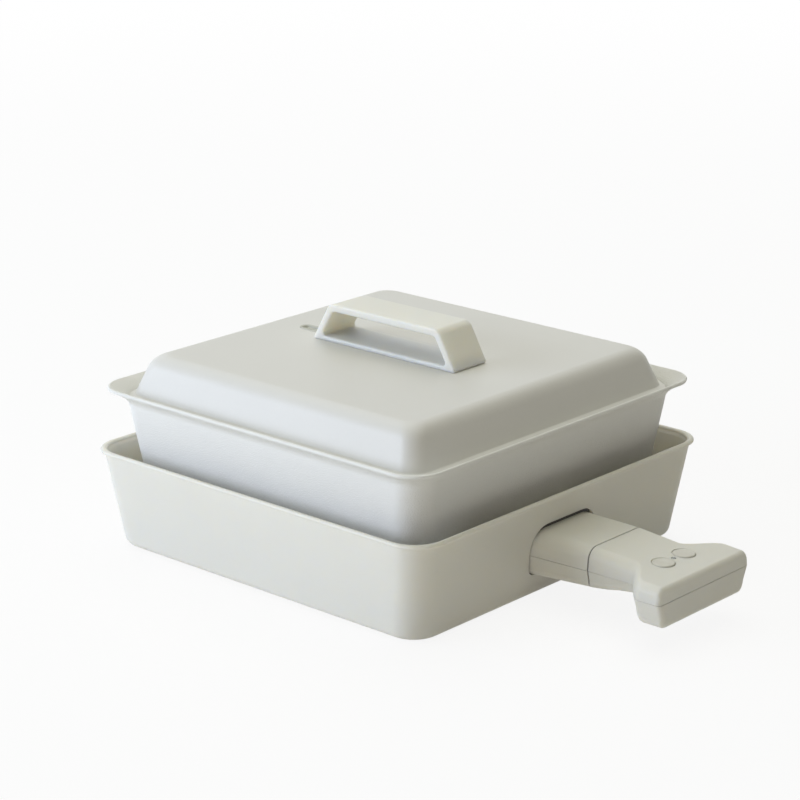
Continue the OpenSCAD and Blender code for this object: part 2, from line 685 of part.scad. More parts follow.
module heating_plate() {
    color("#8f8f8d") difference() {
        translate([0, 0, plate_z]) linear_extrude(plate_t) rounded_square(plate_w, plate_w, plate_corner_r);
        translate([0, 0, plate_z - 1]) cylinder(r = sensor_r + 0.4, h = plate_t + 2);
        translate([0, 0, element_z]) rotate_extrude() translate([element_ring_r, 0])
            circle(element_r + fit_gap);
        at_corners(plate_screw_xy) {
            translate([0, 0, plate_z - 1]) cylinder(r = plate_screw_r + screw_gap, h = plate_t + 2);
            translate([0, 0, plate_top - plate_head_sink - plate_head_h])
                cylinder(r1 = plate_screw_r + screw_gap, r2 = plate_head_r + screw_gap, h = plate_head_h);
            translate([0, 0, plate_top - plate_head_sink]) cylinder(r = plate_head_r + screw_gap, h = 2);
        }
        on_circle(3, guide_screw_ring) translate([0, 0, plate_z - 1])
            cylinder(r = guide_screw_r + screw_gap, h = plate_t / 2 + 1);
    }
}

module plate_screws() {
    color("silver") at_corners(plate_screw_xy) translate([0, 0, plate_top - plate_head_sink])
        sunk_screw(plate_screw_r, plate_top - plate_head_sink - floor_z - 0.8, plate_head_r, plate_head_h);
}

module heating_element() {
    color("#5d5b58") element_ring(element_r);
}

// Cold ends of the element, saddled under the two ends of its ring
module element_terminals() {
    color("#e8e4da") difference() {
        for (s = [-1, 1]) rotate(s * terminal_angle) translate([element_ring_r, 0, terminal_z])
            cylinder(r = terminal_r, h = terminal_l);
        element_ring(element_r + screw_gap);
    }
}

module heat_shield() {
    color("#c4c4c0") translate([0, 0, shield_z]) linear_extrude(shield_t) difference() {
        rounded_square(shield_w, shield_w, plate_corner_r - 5);
        at_corners(plate_screw_xy) circle(standoff_r + fit_gap);
        circle(sensor_hub_r + 1);
        for (s = [-1, 1]) rotate(s * terminal_angle) translate([element_ring_r, 0])
            circle(terminal_r + 2);
    }
}

module sensor_guide() {
    color("#9a9a97") difference() {
        union() {
            translate([0, 0, plate_z - sensor_flange_t]) cylinder(r = sensor_flange_r, h = sensor_flange_t);
            translate([0, 0, sensor_hub_bottom]) cylinder(r = sensor_hub_r, h = plate_z - sensor_hub_bottom);
            translate([0, 0, sensor_hub_bottom])
                cylinder(r = sensor_stop_r, h = sensor_stop_z - sensor_hub_bottom);
        }
        translate([0, 0, sensor_hub_bottom - 1])
            cylinder(r = sensor_stem_r + screw_gap, h = sensor_stop_z - sensor_hub_bottom + 2);
        on_circle(3, guide_screw_ring) translate([0, 0, plate_z - sensor_flange_t - 1])
            cylinder(r = guide_screw_r + screw_gap, h = sensor_flange_t + 2);
    }
}

module guide_screws() {
    color("silver") on_circle(3, guide_screw_ring) translate([0, 0, plate_z - sensor_flange_t])
        screw(guide_screw_r, sensor_flange_t + plate_t / 2 - 0.5, guide_head_r, 1.2);
}

// Round tube swept along points, with its rings square to the path
function tube_rings(path, r, sides) = [for (i = [0:len(path) - 1])
    let (d = path[min(i + 1, len(path) - 1)] - path[max(i - 1, 0)], n = d / norm(d),
        u = cross(n, abs(n[2]) > 0.9 ? [1, 0, 0] : [0, 0, 1]), e = u / norm(u), f = cross(n, e))
    [for (j = [0:sides - 1]) path[i] + r * (cos(360 * j / sides) * e + sin(360 * j / sides) * f)]];

// Coil spring between the guide and the cap
module sensor_spring() {
    rings = 12 * spring_turns;
    path = [for (i = [0:rings]) let (t = i / rings)
        [spring_r * cos(360 * spring_turns * t), spring_r * sin(360 * spring_turns * t),
            spring_z0 + (spring_z1 - spring_z0) * t]];
    color("silver") skin(tube_rings(path, spring_wire_r, 6));
}

module sensor_cap() {
    color("#b5b5b1") difference() {
        union() {
            translate([0, 0, sensor_disc_z]) cylinder(r = sensor_r, h = sensor_cap_t);
            translate([0, 0, sensor_stem_bottom])
                cylinder(r = sensor_stem_r, h = sensor_disc_z - sensor_stem_bottom);
        }
        translate([0, 0, sensor_hub_bottom - run_gap - sensor_clip_t]) difference() {
            cylinder(r = sensor_stem_r + 1, h = sensor_clip_t);
            translate([0, 0, -1]) cylinder(r = sensor_stem_r - clip_groove, h = sensor_clip_t + 2);
        }
    }
}

module sensor_clip() {
    color("#77766f") translate([0, 0, sensor_hub_bottom - run_gap - sensor_clip_t + 0.03])
        linear_extrude(sensor_clip_t - 0.06) difference() {
            circle(sensor_clip_r);
            circle(sensor_stem_r - clip_groove + 0.05);
            translate([0, -2]) square([sensor_clip_r + 1, 4]);
        }
}

module thermostat() {
    color("#3a3936") translate([0, cutout_y, plate_z - thermostat_t]) {
        cylinder(r = thermostat_r, h = thermostat_t);
        translate([-thermostat_strap_l / 2, -thermostat_strap_w / 2, thermostat_t - thermostat_strap_t])
            cube([thermostat_strap_l, thermostat_strap_w, thermostat_strap_t]);
    }
}

module thermal_fuse() {
    color("#d9d2c0") translate([-fuse_l / 2, -cutout_y, plate_z - fuse_r]) {
        rotate([0, 90, 0]) cylinder(r = fuse_r, h = fuse_l);
        translate([(fuse_l - fuse_saddle_l) / 2, -fuse_r, 0]) cube([fuse_saddle_l, 2 * fuse_r, fuse_r]);
    }
}

// Two leads from the element's terminals, beside the tang, to the back of the pin carrier
module lead_wires() {
    start = element_ring_r * [cos(terminal_angle), sin(terminal_angle)];
    lead_y = stub_hollow[0] - 5;
    low = floor_top + 3;
    end_x = joint_x - carrier_l - 0.5;
    for (s = [-1, 1]) {
        path = [
            [start[0], s * start[1], terminal_z],
            [start[0], s * start[1], low + 2],
            [start[0] + 3, s * start[1], low],
            [tang_x0 - 14, s * lead_y, low],
            [tang_x0 - 8, s * lead_y, low + 4],
            [stub_x0 - 2, s * lead_y, pin_z - 4],
            [stub_x0 + 6, s * lead_y, pin_z],
            [end_x, s * lead_y, pin_z]
        ];
        color(s > 0 ? "#b8473a" : "#3f6ea8") skin(tube_rings(path, lead_r, lead_sides));
    }
}

module handle_tang() {
    color("#a9a9a6") difference() {
        union() {
            translate([tang_x0, -tang_hw, tang_top - tang_t]) cube([tang_x1 - tang_x0, 2 * tang_hw, tang_t]);
            translate([tang_x0, -tang_hw, floor_top]) cube([tang_t, 2 * tang_hw, tang_top - floor_top]);
            translate([tang_x0, -tang_foot_hw, floor_top]) cube([tang_foot_l, 2 * tang_foot_hw, tang_t]);
        }
        for (y = [-rivet_y, rivet_y]) translate([rivet_x, y, floor_top - 1])
            cylinder(r = rivet_r + screw_gap, h = tang_t + 2);
        for (y = [-stub_screw_y, stub_screw_y]) translate([stub_screw_x, y, tang_top - tang_t - 1])
            cylinder(r = stub_screw_r + screw_gap, h = tang_t + 2);
    }
}

module tang_rivets() {
    rivet_z0 = floor_z + 0.2;
    rivet_z1 = floor_top + tang_t;
    color("silver") for (y = [-rivet_y, rivet_y]) translate([rivet_x, y, 0]) {
        translate([0, 0, rivet_z0]) cylinder(r = rivet_head_r, h = rivet_head_h);
        translate([0, 0, rivet_z0]) cylinder(r = rivet_r, h = rivet_z1 - rivet_z0);
        translate([0, 0, rivet_z1]) cylinder(r = rivet_head_r, h = rivet_head_h);
    }
}

module stub_upper_shell() {
    color(cream) difference() {
        union() {
            difference() {
                skin([for (s = stub_sections) upper_section(s)]);
                bar_x(stub_x0 - 1, joint_x + 1, stub_hollow[0], stub_hollow[1], stub_hollow[2], hollow_r);
            }
            for (y = [-stub_screw_y, stub_screw_y]) translate([stub_screw_x, y, tang_top])
                cylinder(r = stub_boss_r, h = stub_hollow[2] - tang_top + 0.5);
        }
        for (y = [-stub_screw_y, stub_screw_y]) translate([stub_screw_x, y, tang_top - 1])
            cylinder(r = stub_screw_r + screw_gap, h = stub_screw_top - tang_top + 1.5);
    }
}

module stub_lower_shell() {
    boss_top = tang_top - tang_t;
    color(cream) difference() {
        union() {
            difference() {
                skin([for (s = stub_sections) lower_section(s)]);
                bar_x(stub_x0 - 1, joint_x + 1, stub_hollow[0], stub_hollow[1], stub_hollow[2], hollow_r);
                translate([stub_x0 - 1, -tang_hw - 1, boss_top - 0.1])
                    cube([tang_x1 - stub_x0 + 2, 2 * tang_hw + 2, seam_z - boss_top]);
            }
            for (y = [-stub_screw_y, stub_screw_y]) translate([stub_screw_x, y, stub_hollow[1] - 1])
                cylinder(r = stub_boss_r, h = boss_top - stub_hollow[1] + 1);
        }
        for (y = [-stub_screw_y, stub_screw_y]) translate([stub_screw_x, y, 0]) {
            cylinder(r = stub_screw_r + screw_gap, h = tang_top);
            cylinder(r = stub_head_r + fit_gap, h = stub_bore_z);
        }
    }
}

module stub_screws() {
    color("silver") for (y = [-stub_screw_y, stub_screw_y]) translate([stub_screw_x, y, stub_bore_z])
        screw(stub_screw_r, stub_screw_top - stub_bore_z, stub_head_r, stub_head_h);
}

module pin_carrier() {
    color("#4a4843") difference() {
        bar_x(joint_x - carrier_l, joint_x - 0.6, stub_hollow[0] - fit_gap, stub_hollow[1] + fit_gap,
            stub_hollow[2] - fit_gap, hollow_r - fit_gap);
        for (y = pin_ys) translate([joint_x - carrier_l + pin_back, y, pin_z]) rotate([0, 90, 0])
            cylinder(r = pin_r + 0.02, h = carrier_l);
    }
}

module contact_pins() {
    color("gold") for (y = pin_ys) translate([joint_x - carrier_l + pin_back, y, pin_z]) rotate([0, 90, 0])
        cylinder(r = pin_r, h = carrier_l - pin_back + pin_reach);
}

module inner_pot() {
    color("#d9dad6") square_skin(pot_profile);
}

module vent_slot(grow, z0, h) {
    translate([-vent_x, 0, z0]) linear_extrude(h)
        rounded_square(vent_l + 2 * grow, vent_w + 2 * grow, vent_w / 2 + grow - 0.01);
}

module lid_shell() {
    color(cream) difference() {
        square_skin(lid_profile);
        for (x = [-bridge_screw_x, bridge_screw_x]) translate([x, 0, lid_top - lid_wall - 1])
            cylinder(r = bridge_screw_r + 0.3, h = lid_wall + 2);
        vent_slot(1 + screw_gap, lid_top - lid_wall - 1, lid_wall + 2);
    }
}

module lid_handle() {
    color(cream) difference() {
        translate([0, bridge_w / 2, lid_top]) rotate([90, 0, 0]) linear_extrude(bridge_w) difference() {
            polygon(rounded_polygon(bridge_outer, [0.8, 0.8, bridge_r, bridge_r]));
            polygon(rounded_polygon(bridge_inner, [2, 2, bridge_r - bridge_t + 1, bridge_r - bridge_t + 1]));
        }
        for (x = [-bridge_screw_x, bridge_screw_x]) translate([x, 0, lid_top - 1])
            cylinder(r = bridge_screw_r + screw_gap, h = bridge_screw_in + 1.2);
    }
}

module lid_handle_screws() {
    color("silver") for (x = [-bridge_screw_x, bridge_screw_x]) translate([x, 0, lid_top - lid_wall])
        screw(bridge_screw_r, lid_wall + bridge_screw_in, bridge_head_r, bridge_head_h);
}

// Silicone grommet that lines the steam vent, with a thin flange on the lid
module vent_grommet() {
    color("#a8a69f") difference() {
        union() {
            vent_slot(1, lid_top - lid_wall, lid_wall);
            vent_slot(2, lid_top, 0.5);
        }
        vent_slot(0, lid_top - lid_wall - 1, lid_wall + 3);
    }
}

module handle_hollow() {
    bar_x(handle_x0 - 1, hollow_x1, neck_hollow[0], neck_hollow[1], neck_hollow[2], hollow_r);
    bar_x(grip_hollow_x0, hollow_x1, grip_hollow[0], grip_hollow[1], grip_hollow[2], hollow_r);
}

module inlet_block(grow) {
    translate([inlet_x0 - grow, inlet_y0 - grow, inlet_z - inlet_hz - grow])
        cube([inlet_x1 - inlet_x0 + 2 * grow, inlet_y1 - inlet_y0 + 2 * grow, 2 * (inlet_hz + grow)]);
}

module handle_upper_shell() {
    color(cream) difference() {
        union() {
            difference() {
                skin([for (s = handle_sections) upper_section(s)]);
                handle_hollow();
            }
            for (p = handle_posts) translate([p[0], p[1], seam_up])
                cylinder(r = post_r, h = neck_hollow[2] - seam_up + 0.5);
        }
        for (p = handle_posts) translate([p[0], p[1], seam_z - 1])
            cylinder(r = handle_screw_r + screw_gap, h = handle_screw_top - seam_z + 1.5);
        for (y = [-button_y, button_y]) translate([button_x, y, seam_z])
            cylinder(r = button_r + run_gap, h = joint_top);
        translate([button_x, 0, seam_z]) cylinder(r = lens_r + screw_gap, h = joint_top);
        inlet_block(fit_gap);
        translate([inlet_x0, inlet_y1 - 1, inlet_z - inlet_hz])
            cube([inlet_x1 - inlet_x0, grip_w, 2 * inlet_hz]);
    }
}

module handle_lower_shell() {
    color(cream) difference() {
        union() {
            difference() {
                skin([for (s = handle_sections) lower_section(s)]);
                handle_hollow();
            }
            for (p = handle_posts) translate([p[0], p[1], hollow_floor(p[0]) - 0.5])
                cylinder(r = post_r, h = seam_down - hollow_floor(p[0]) + 0.5);
            for (x = board_post_xs, y = [-board_post_y, board_post_y])
                translate([x, y, hollow_floor(x) - 0.5])
                cylinder(r = board_post_r, h = board_z - hollow_floor(x) + 0.5);
        }
        for (p = handle_posts) translate([p[0], p[1], 0]) {
            cylinder(r = handle_screw_r + screw_gap, h = seam_z);
            cylinder(r = handle_head_r + fit_gap, h = handle_bore_z);
        }
        inlet_block(fit_gap);
        translate([inlet_x0, inlet_y1 - 1, inlet_z - inlet_hz])
            cube([inlet_x1 - inlet_x0, grip_w, 2 * inlet_hz]);
    }
}

module handle_screws() {
    color("silver") for (p = handle_posts) translate([p[0], p[1], handle_bore_z])
        screw(handle_screw_r, handle_screw_top - handle_bore_z, handle_head_r, handle_head_h);
}

module socket_block() {
    color("#4a4843") difference() {
        bar_x(handle_x0 + 0.2, handle_x0 + socket_l, neck_hollow[0] - fit_gap, neck_hollow[1] + fit_gap,
            neck_hollow[2] - fit_gap, hollow_r - fit_gap);
        for (y = pin_ys) translate([handle_x0, y, pin_z]) rotate([0, 90, 0]) {
            cylinder(r = pin_r + run_gap, h = socket_l - 2);
            translate([0, 0, socket_face]) cylinder(r = sleeve_r + screw_gap, h = socket_l);
        }
    }
}

module socket_contacts() {
    color("gold") for (y = pin_ys) translate([handle_x0 + socket_face, y, pin_z]) rotate([0, 90, 0])
        difference() {
            cylinder(r = sleeve_r, h = socket_l - socket_face);
            translate([0, 0, -1]) cylinder(r = pin_r + 0.1, h = socket_l - socket_face);
        }
}

module control_board() {
    color("#4f7a5a") translate([board_x0, -board_hw, board_z])
        cube([board_x1 - board_x0, 2 * board_hw, board_t]);
}

module button_switches() {
    switch_h = button_flange_z - button_travel - run_gap - board_z - board_t;
    color("#3a3936") for (y = [-button_y, button_y]) translate([button_x, y, board_z + board_t]) {
        translate([-switch_w / 2, -switch_w / 2, 0]) cube([switch_w, switch_w, switch_h / 2]);
        cylinder(r = switch_w / 4, h = switch_h);
    }
}

// Push button with a flange that keeps it under the handle's top
module push_button(y) {
    button_z1 = handle_top(button_x) + button_proud;
    translate([button_x, y, button_flange_z]) {
        cylinder(r = button_flange_r, h = button_flange_t);
        cylinder(r = button_r, h = button_z1 - button_flange_z);
    }
}

module power_button() {
    color(cream_dark) push_button(-button_y);
}

module level_button() {
    color(cream_dark) push_button(button_y);
}

// Light guide from the board to the handle's top
module indicator_lens() {
    color("#e9efe6") translate([button_x, 0, board_z + board_t])
        cylinder(r = lens_r, h = handle_top(button_x) - board_z - board_t + 0.1);
}

module power_inlet() {
    mid_x = (inlet_x0 + inlet_x1) / 2;
    color("#4a4843") difference() {
        inlet_block(0);
        translate([inlet_x0 + inlet_wall, inlet_y0 + inlet_back, inlet_z - inlet_hz + inlet_wall])
            cube([inlet_x1 - inlet_x0 - 2 * inlet_wall, inlet_y1, 2 * (inlet_hz - inlet_wall)]);
        for (s = [-1, 1]) translate([mid_x, inlet_y0 - 1, inlet_z + s * inlet_pin_dz]) rotate([-90, 0, 0])
            cylinder(r = inlet_pin_r + 0.02, h = inlet_back + 2);
    }
}

module inlet_pins() {
    mid_x = (inlet_x0 + inlet_x1) / 2;
    color("silver") for (s = [-1, 1]) translate([mid_x, inlet_y0, inlet_z + s * inlet_pin_dz])
        rotate([-90, 0, 0]) cylinder(r = inlet_pin_r, h = inlet_y1 - inlet_y0 - 4);
}

outer_shell();
foot_ring();
bottom_cover();
cover_screws();
deck_plate();
deck_screws();
plate_standoffs();
heating_plate();
plate_screws();
heating_element();
element_terminals();
heat_shield();
sensor_guide();
guide_screws();
sensor_spring();
sensor_cap();
sensor_clip();
thermostat();
thermal_fuse();
lead_wires();
handle_tang();
tang_rivets();
stub_upper_shell();
stub_lower_shell();
stub_screws();
pin_carrier();
contact_pins();
inner_pot();
lid_shell();
lid_handle();
lid_handle_screws();
vent_grommet();
handle_upper_shell();
handle_lower_shell();
handle_screws();
socket_block();
socket_contacts();
control_board();
button_switches();
power_button();
level_button();
indicator_lens();
power_inlet();
inlet_pins();
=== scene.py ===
# Square electric hot pot: a cream base with a heating plate, an inner pot, a lid and a plug-on handle.
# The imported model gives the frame. Sizes in the sections are millimetres, and each mesh ends in metres.
import math
import bmesh
import bpy
from mathutils import Matrix, Vector


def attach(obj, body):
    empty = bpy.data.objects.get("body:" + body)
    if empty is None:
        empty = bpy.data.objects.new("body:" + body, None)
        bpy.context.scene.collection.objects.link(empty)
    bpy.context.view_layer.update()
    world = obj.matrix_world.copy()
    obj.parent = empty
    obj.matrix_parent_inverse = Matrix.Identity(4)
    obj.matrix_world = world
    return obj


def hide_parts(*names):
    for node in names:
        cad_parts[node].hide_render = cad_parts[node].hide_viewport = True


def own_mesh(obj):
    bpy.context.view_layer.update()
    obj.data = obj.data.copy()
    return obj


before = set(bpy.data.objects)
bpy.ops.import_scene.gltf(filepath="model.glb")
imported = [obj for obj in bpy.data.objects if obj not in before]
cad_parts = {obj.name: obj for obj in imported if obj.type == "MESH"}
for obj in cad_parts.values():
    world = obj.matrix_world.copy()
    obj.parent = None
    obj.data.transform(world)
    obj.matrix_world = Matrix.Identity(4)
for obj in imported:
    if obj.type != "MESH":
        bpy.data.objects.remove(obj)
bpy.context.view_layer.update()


# Ring foot: one ring of soft grey rubber, pressed into a groove under the floor of the base.
# It is moulded with rounded edges and two fine grooves round its sole.
class Wire:
    """One socket of a finish's node tree. Sums on values add Math nodes."""

    def __init__(self, tree, socket=None):
        self.tree = tree
        self.socket = socket

    def add(self, kind, settings, values, output=0):
        """Adds a node with its settings and its sockets' values or links, and gives one of its outputs."""
        node = self.tree.nodes.new(kind)
        for name, value in settings.items():
            setattr(node, name, value)
        for name, value in values.items():
            if isinstance(value, Wire):
                self.tree.links.new(value.socket, node.inputs[name])
            else:
                node.inputs[name].default_value = value
        return None if output is None else Wire(self.tree, node.outputs[output])

    def sum(self, operation, first, second):
        return self.add("ShaderNodeMath", {"operation": operation}, {0: first, 1: second})

    def __add__(self, other):
        return self.sum("ADD", self, other)

    def __radd__(self, other):
        return self.sum("ADD", other, self)

    def __mul__(self, other):
        return self.sum("MULTIPLY", self, other)

    def __rmul__(self, other):
        return self.sum("MULTIPLY", other, self)

    def between(self, low, high):
        """A colour that goes from low to high as this value goes from 0 to 1."""
        return self.add("ShaderNodeMix", {"data_type": "RGBA"}, {0: self, 6: low, 7: high}, 2)


def shade(red, green, blue):
    """A colour given as it looks on a screen, 0 to 255, as the linear values that a socket takes."""
    parts = [value / 255 for value in (red, green, blue)]
    return [p / 12.92 if p < 0.04045 else ((p + 0.055) / 1.055) ** 2.4 for p in parts] + [1.0]


def new_finish(name, fixed):
    """A material with its fixed shader values set, with its shader and its object coordinates."""
    finish = bpy.data.materials.new(name)
    finish.use_nodes = True
    shader = finish.node_tree.nodes["Principled BSDF"]
    for socket, value in fixed.items():
        shader.inputs[socket].default_value = value
    return finish, shader, Wire(finish.node_tree).add("ShaderNodeTexCoord", {}, {}, "Object")


def plug(shader, name, wire):
    wire.tree.links.new(wire.socket, shader.inputs[name])


def cloud(at, scale, detail=2.0, rough=0.5):
    """Soft noise of 0 to 1 over a piece, finer as the scale grows."""
    values = {"Vector": at, "Scale": scale, "Detail": detail, "Roughness": rough}
    return at.add("ShaderNodeTexNoise", {}, values)


def relief(shader, height, depth):
    """Bump of the given depth in metres from a height of 0 to 1."""
    plug(shader, "Normal", height.add("ShaderNodeBump", {}, {"Height": height, "Distance": depth}, "Normal"))


def smooth(piece):
    """Shades a piece smooth, with sharp edges where its faces turn by more than 32 degrees."""
    piece.data.polygons.foreach_set("use_smooth", [True] * len(piece.data.polygons))
    piece.data.set_sharp_from_angle(angle=math.radians(32))
    flats = piece.modifiers.new("flats", "WEIGHTED_NORMAL")
    flats.keep_sharp = True


def settle(bm, name, finish):
    """Turns a bmesh in millimetres into a smooth-shaded object in metres."""
    bmesh.ops.remove_doubles(bm, verts=bm.verts, dist=0.005)
    bmesh.ops.recalc_face_normals(bm, faces=bm.faces)
    bmesh.ops.scale(bm, vec=(0.001, 0.001, 0.001), verts=bm.verts)
    mesh = bpy.data.meshes.new(name)
    bm.to_mesh(mesh)
    bm.free()
    mesh.materials.append(finish)
    piece = bpy.data.objects.new(name, mesh)
    bpy.context.scene.collection.objects.link(piece)
    smooth(piece)
    return piece


def turned(bm, profile, place=(0, 0), steps=32, ring=False):
    """Turns a profile of radius and height about an upright line at the place."""
    verts = [bm.verts.new((place[0] + radius, place[1], z)) for radius, z in profile]
    pairs = zip(verts, verts[1:] + verts[:1] if ring else verts[1:])
    edges = [bm.edges.new(pair) for pair in pairs]
    bmesh.ops.spin(bm, geom=verts + edges, cent=(*place, 0), axis=(0, 0, 1), angle=math.tau, steps=steps,
                   use_merge=True)


rubber, shader, at = new_finish("rubber_foot", {"Specular IOR Level": 0.3})
plug(shader, "Base Color", cloud(at, 60).between(shade(74, 73, 69), shade(92, 91, 86)))
plug(shader, "Roughness", 0.7 + 0.2 * cloud(at, 900))
relief(shader, cloud(at, 2200, 3), 0.00006)

foot_r = 95
foot_half = 3.5
foot_top = 2
sole_d = 0.35
sole = [(0.6, 0), (0.9, sole_d), (1.3, sole_d), (1.6, 0), (3, 0), (foot_half, 0.5), (foot_half, foot_top)]
sole = [(-r, z) for r, z in reversed(sole)] + sole
bm = bmesh.new()
turned(bm, [(foot_r + r, z) for r, z in sole], steps=128, ring=True)
foot = settle(bm, "foot", rubber)
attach(foot, "base")
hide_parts("foot_ring")


# Base shell: one deep tray moulded in cream plastic, with a draw to its walls, a rounded foot edge
# and a rolled bead round its rim. A window in the +X wall lets the stub of the handle through.
def moulded(name, colour, grain=1500, depth=0.00005, rough=0.46, glow=0.0, reach=0.006):
    """Moulded plastic with a fine spark-eroded grain, a soft mottle and an uneven sheen. A glow lets light
    through thin walls, as far as the reach in metres."""
    finish, shader, at = new_finish(name, {"Specular IOR Level": 0.42, "Subsurface Weight": glow,
                                           "Subsurface Radius": (1.0, 0.85, 0.62), "Subsurface Scale": reach})
    broad = cloud(at, 9, 3)
    fine = cloud(at, grain, 4, 0.6)
    light = [value * 1.035 for value in colour[:3]] + [1.0]
    dark = [value * 0.955 for value in colour[:3]] + [1.0]
    plug(shader, "Base Color", (0.75 * broad + 0.25 * fine).between(dark, light))
    plug(shader, "Roughness", rough - 0.08 + 0.1 * cloud(at, 35) + 0.08 * fine)
    relief(shader, fine, depth)
    return finish


def rounded_loop(bm, half, height, corner, steps=12):
    """A level square with rounded corners, as one face whose edges are the loop."""
    before = set(bm.faces)
    turn = Matrix.Translation((0, 0, height)) @ Matrix.Rotation(math.pi / 4, 4, "Z")
    made = bmesh.ops.create_circle(bm, cap_ends=True, radius=half * math.sqrt(2), segments=4, matrix=turn)
    bmesh.ops.bevel(bm, geom=made["verts"], offset=corner, offset_type="ABSOLUTE", segments=steps,
                    profile=0.5, affect="VERTICES", material=-1)
    return (set(bm.faces) - before).pop()


def round_loop(bm, radius, height, steps=128):
    """A level circle, as one face."""
    before = set(bm.faces)
    bmesh.ops.create_circle(bm, cap_ends=True, radius=radius, segments=steps,
                            matrix=Matrix.Translation((0, 0, height)))
    return (set(bm.faces) - before).pop()


def loft(bm, faces, kept=(), closed=False):
    """Joins the outlines of the faces in turn, and keeps only the faces that close an end."""
    loops = [list(face.edges) for face in faces]
    bmesh.ops.delete(bm, geom=[face for face in faces if face not in kept], context="FACES_ONLY")
    for one, two in zip(loops, loops[1:] + loops[:1] if closed else loops[1:]):
        bmesh.ops.bridge_loops(bm, edges=one + two)


def push(bm, face_list, vec):
    """Extrudes the faces and moves their new ends along vec."""
    made = bmesh.ops.extrude_face_region(bm, geom=face_list)
    ends = [v for v in made["geom"] if isinstance(v, bmesh.types.BMVert)]
    bmesh.ops.translate(bm, vec=vec, verts=ends)


def cut(piece, cutters):
    """Cuts the shapes of the cutters, which are then gone, out of a piece, and applies its modifiers."""
    for flats in [m for m in piece.modifiers if m.type == "WEIGHTED_NORMAL"]:
        piece.modifiers.remove(flats)
    for cutter in cutters:
        saw = piece.modifiers.new("cut", "BOOLEAN")
        saw.object = cutter
        saw.solver = "EXACT"
    graph = bpy.context.evaluated_depsgraph_get()
    mesh = bpy.data.meshes.new_from_object(piece.evaluated_get(graph))
    piece.modifiers.clear()
    piece.data = mesh
    for cutter in cutters:
        bpy.data.objects.remove(cutter)
    smooth(piece)


def outline(bm, corners, radii, steps=10):
    """A flat face through the corners, each rounded to its radius."""
    before = set(bm.faces)
    points = [Vector(c) for c in corners]
    verts = [bm.verts.new(p) for p in points]
    bm.faces.new(verts)
    for i, radius in enumerate(radii):
        if radius:
            half = (points[i - 1] - points[i]).angle(points[(i + 1) % len(points)] - points[i]) / 2
            bmesh.ops.bevel(bm, geom=[verts[i]], offset=radius / math.tan(half), offset_type="ABSOLUTE",
                            segments=steps, profile=0.5, affect="VERTICES", material=-1)
    return (set(bm.faces) - before).pop()


def arc(centre, height, radius, start, end, steps):
    """Half-width and height along an arc, by angle in degrees from level."""
    angles = [math.radians(start + (end - start) * i / steps) for i in range(steps + 1)]
    return [(centre + radius * math.cos(a), height + radius * math.sin(a)) for a in angles]


cream_plastic = moulded("cream_plastic", shade(227, 225, 216), glow=0.4)
rim_half = 130
rim_z = 61.5
floor_z = 1
floor_top = 4.2
base_wall = 2.2
base_edge = 5.5
base_corner = 18
base_draw = 8.3
flare = 1.4
flare_z = 54.5
flare_power = 2.2
flare_share = 0.35
bead_r = 1.5
lean = base_draw / (rim_z - floor_z)
tilt = math.atan(lean)


def wall_half(z):
    """Half-width of the base over the outside of its wall at height z."""
    return rim_half - flare - (rim_z - z) * lean


def flared(z, inset):
    """Half-width of the wall at height z, which curves out a little under the bead."""
    rise = max(0, z - flare_z) / (rim_z - flare_z)
    return wall_half(z) - inset + flare * rise ** flare_power * flare_share


edge_mid = wall_half(floor_z + base_edge * (1 - math.sin(tilt))) - base_edge * math.cos(tilt)
inner_edge = base_edge - base_wall
inner_mid = wall_half(floor_top + inner_edge * (1 - math.sin(tilt))) - base_wall - inner_edge * math.cos(tilt)
outer_heights = (20, 52, 54.5, 56, 57.4, 58.3, 58.9)
inner_heights = (58.6, 57.5, 56, 54.5, 52, 20)
rings = [(half, z, base_corner - base_edge + half - edge_mid)
         for half, z in arc(edge_mid, floor_z + base_edge, base_edge, -90, -math.degrees(tilt), 10)]
rings += [(flared(z, 0), z, base_corner) for z in outer_heights]
rings += [(half, z, base_corner) for half, z in arc(rim_half - bead_r, rim_z - bead_r, bead_r, -25, 205, 12)]
rings += [(flared(z, base_wall), z, base_corner - base_wall) for z in inner_heights]
rings += [(half, z, base_corner - base_wall - inner_edge + half - inner_mid)
          for half, z in arc(inner_mid, floor_top + inner_edge, inner_edge, -math.degrees(tilt), -90, 8)]

# The floor is open over the bottom cover, with a seat for its edge and a groove for the foot.
floor_hole_r = 76
cover_seat_r = 86.15
cover_seat_z = 2.8
groove_in = foot_r - foot_half - 0.1
groove_out = foot_r + foot_half + 0.1
openings = [(floor_hole_r, floor_top), (floor_hole_r, cover_seat_z), (cover_seat_r, cover_seat_z),
            (cover_seat_r, floor_z), (groove_in, floor_z), (groove_in, foot_top), (groove_out, foot_top),
            (groove_out, floor_z)]
bm = bmesh.new()
loops = [rounded_loop(bm, half, z, corner) for half, z, corner in rings]
loops += [round_loop(bm, radius, z) for radius, z in openings]
loft(bm, loops, closed=True)

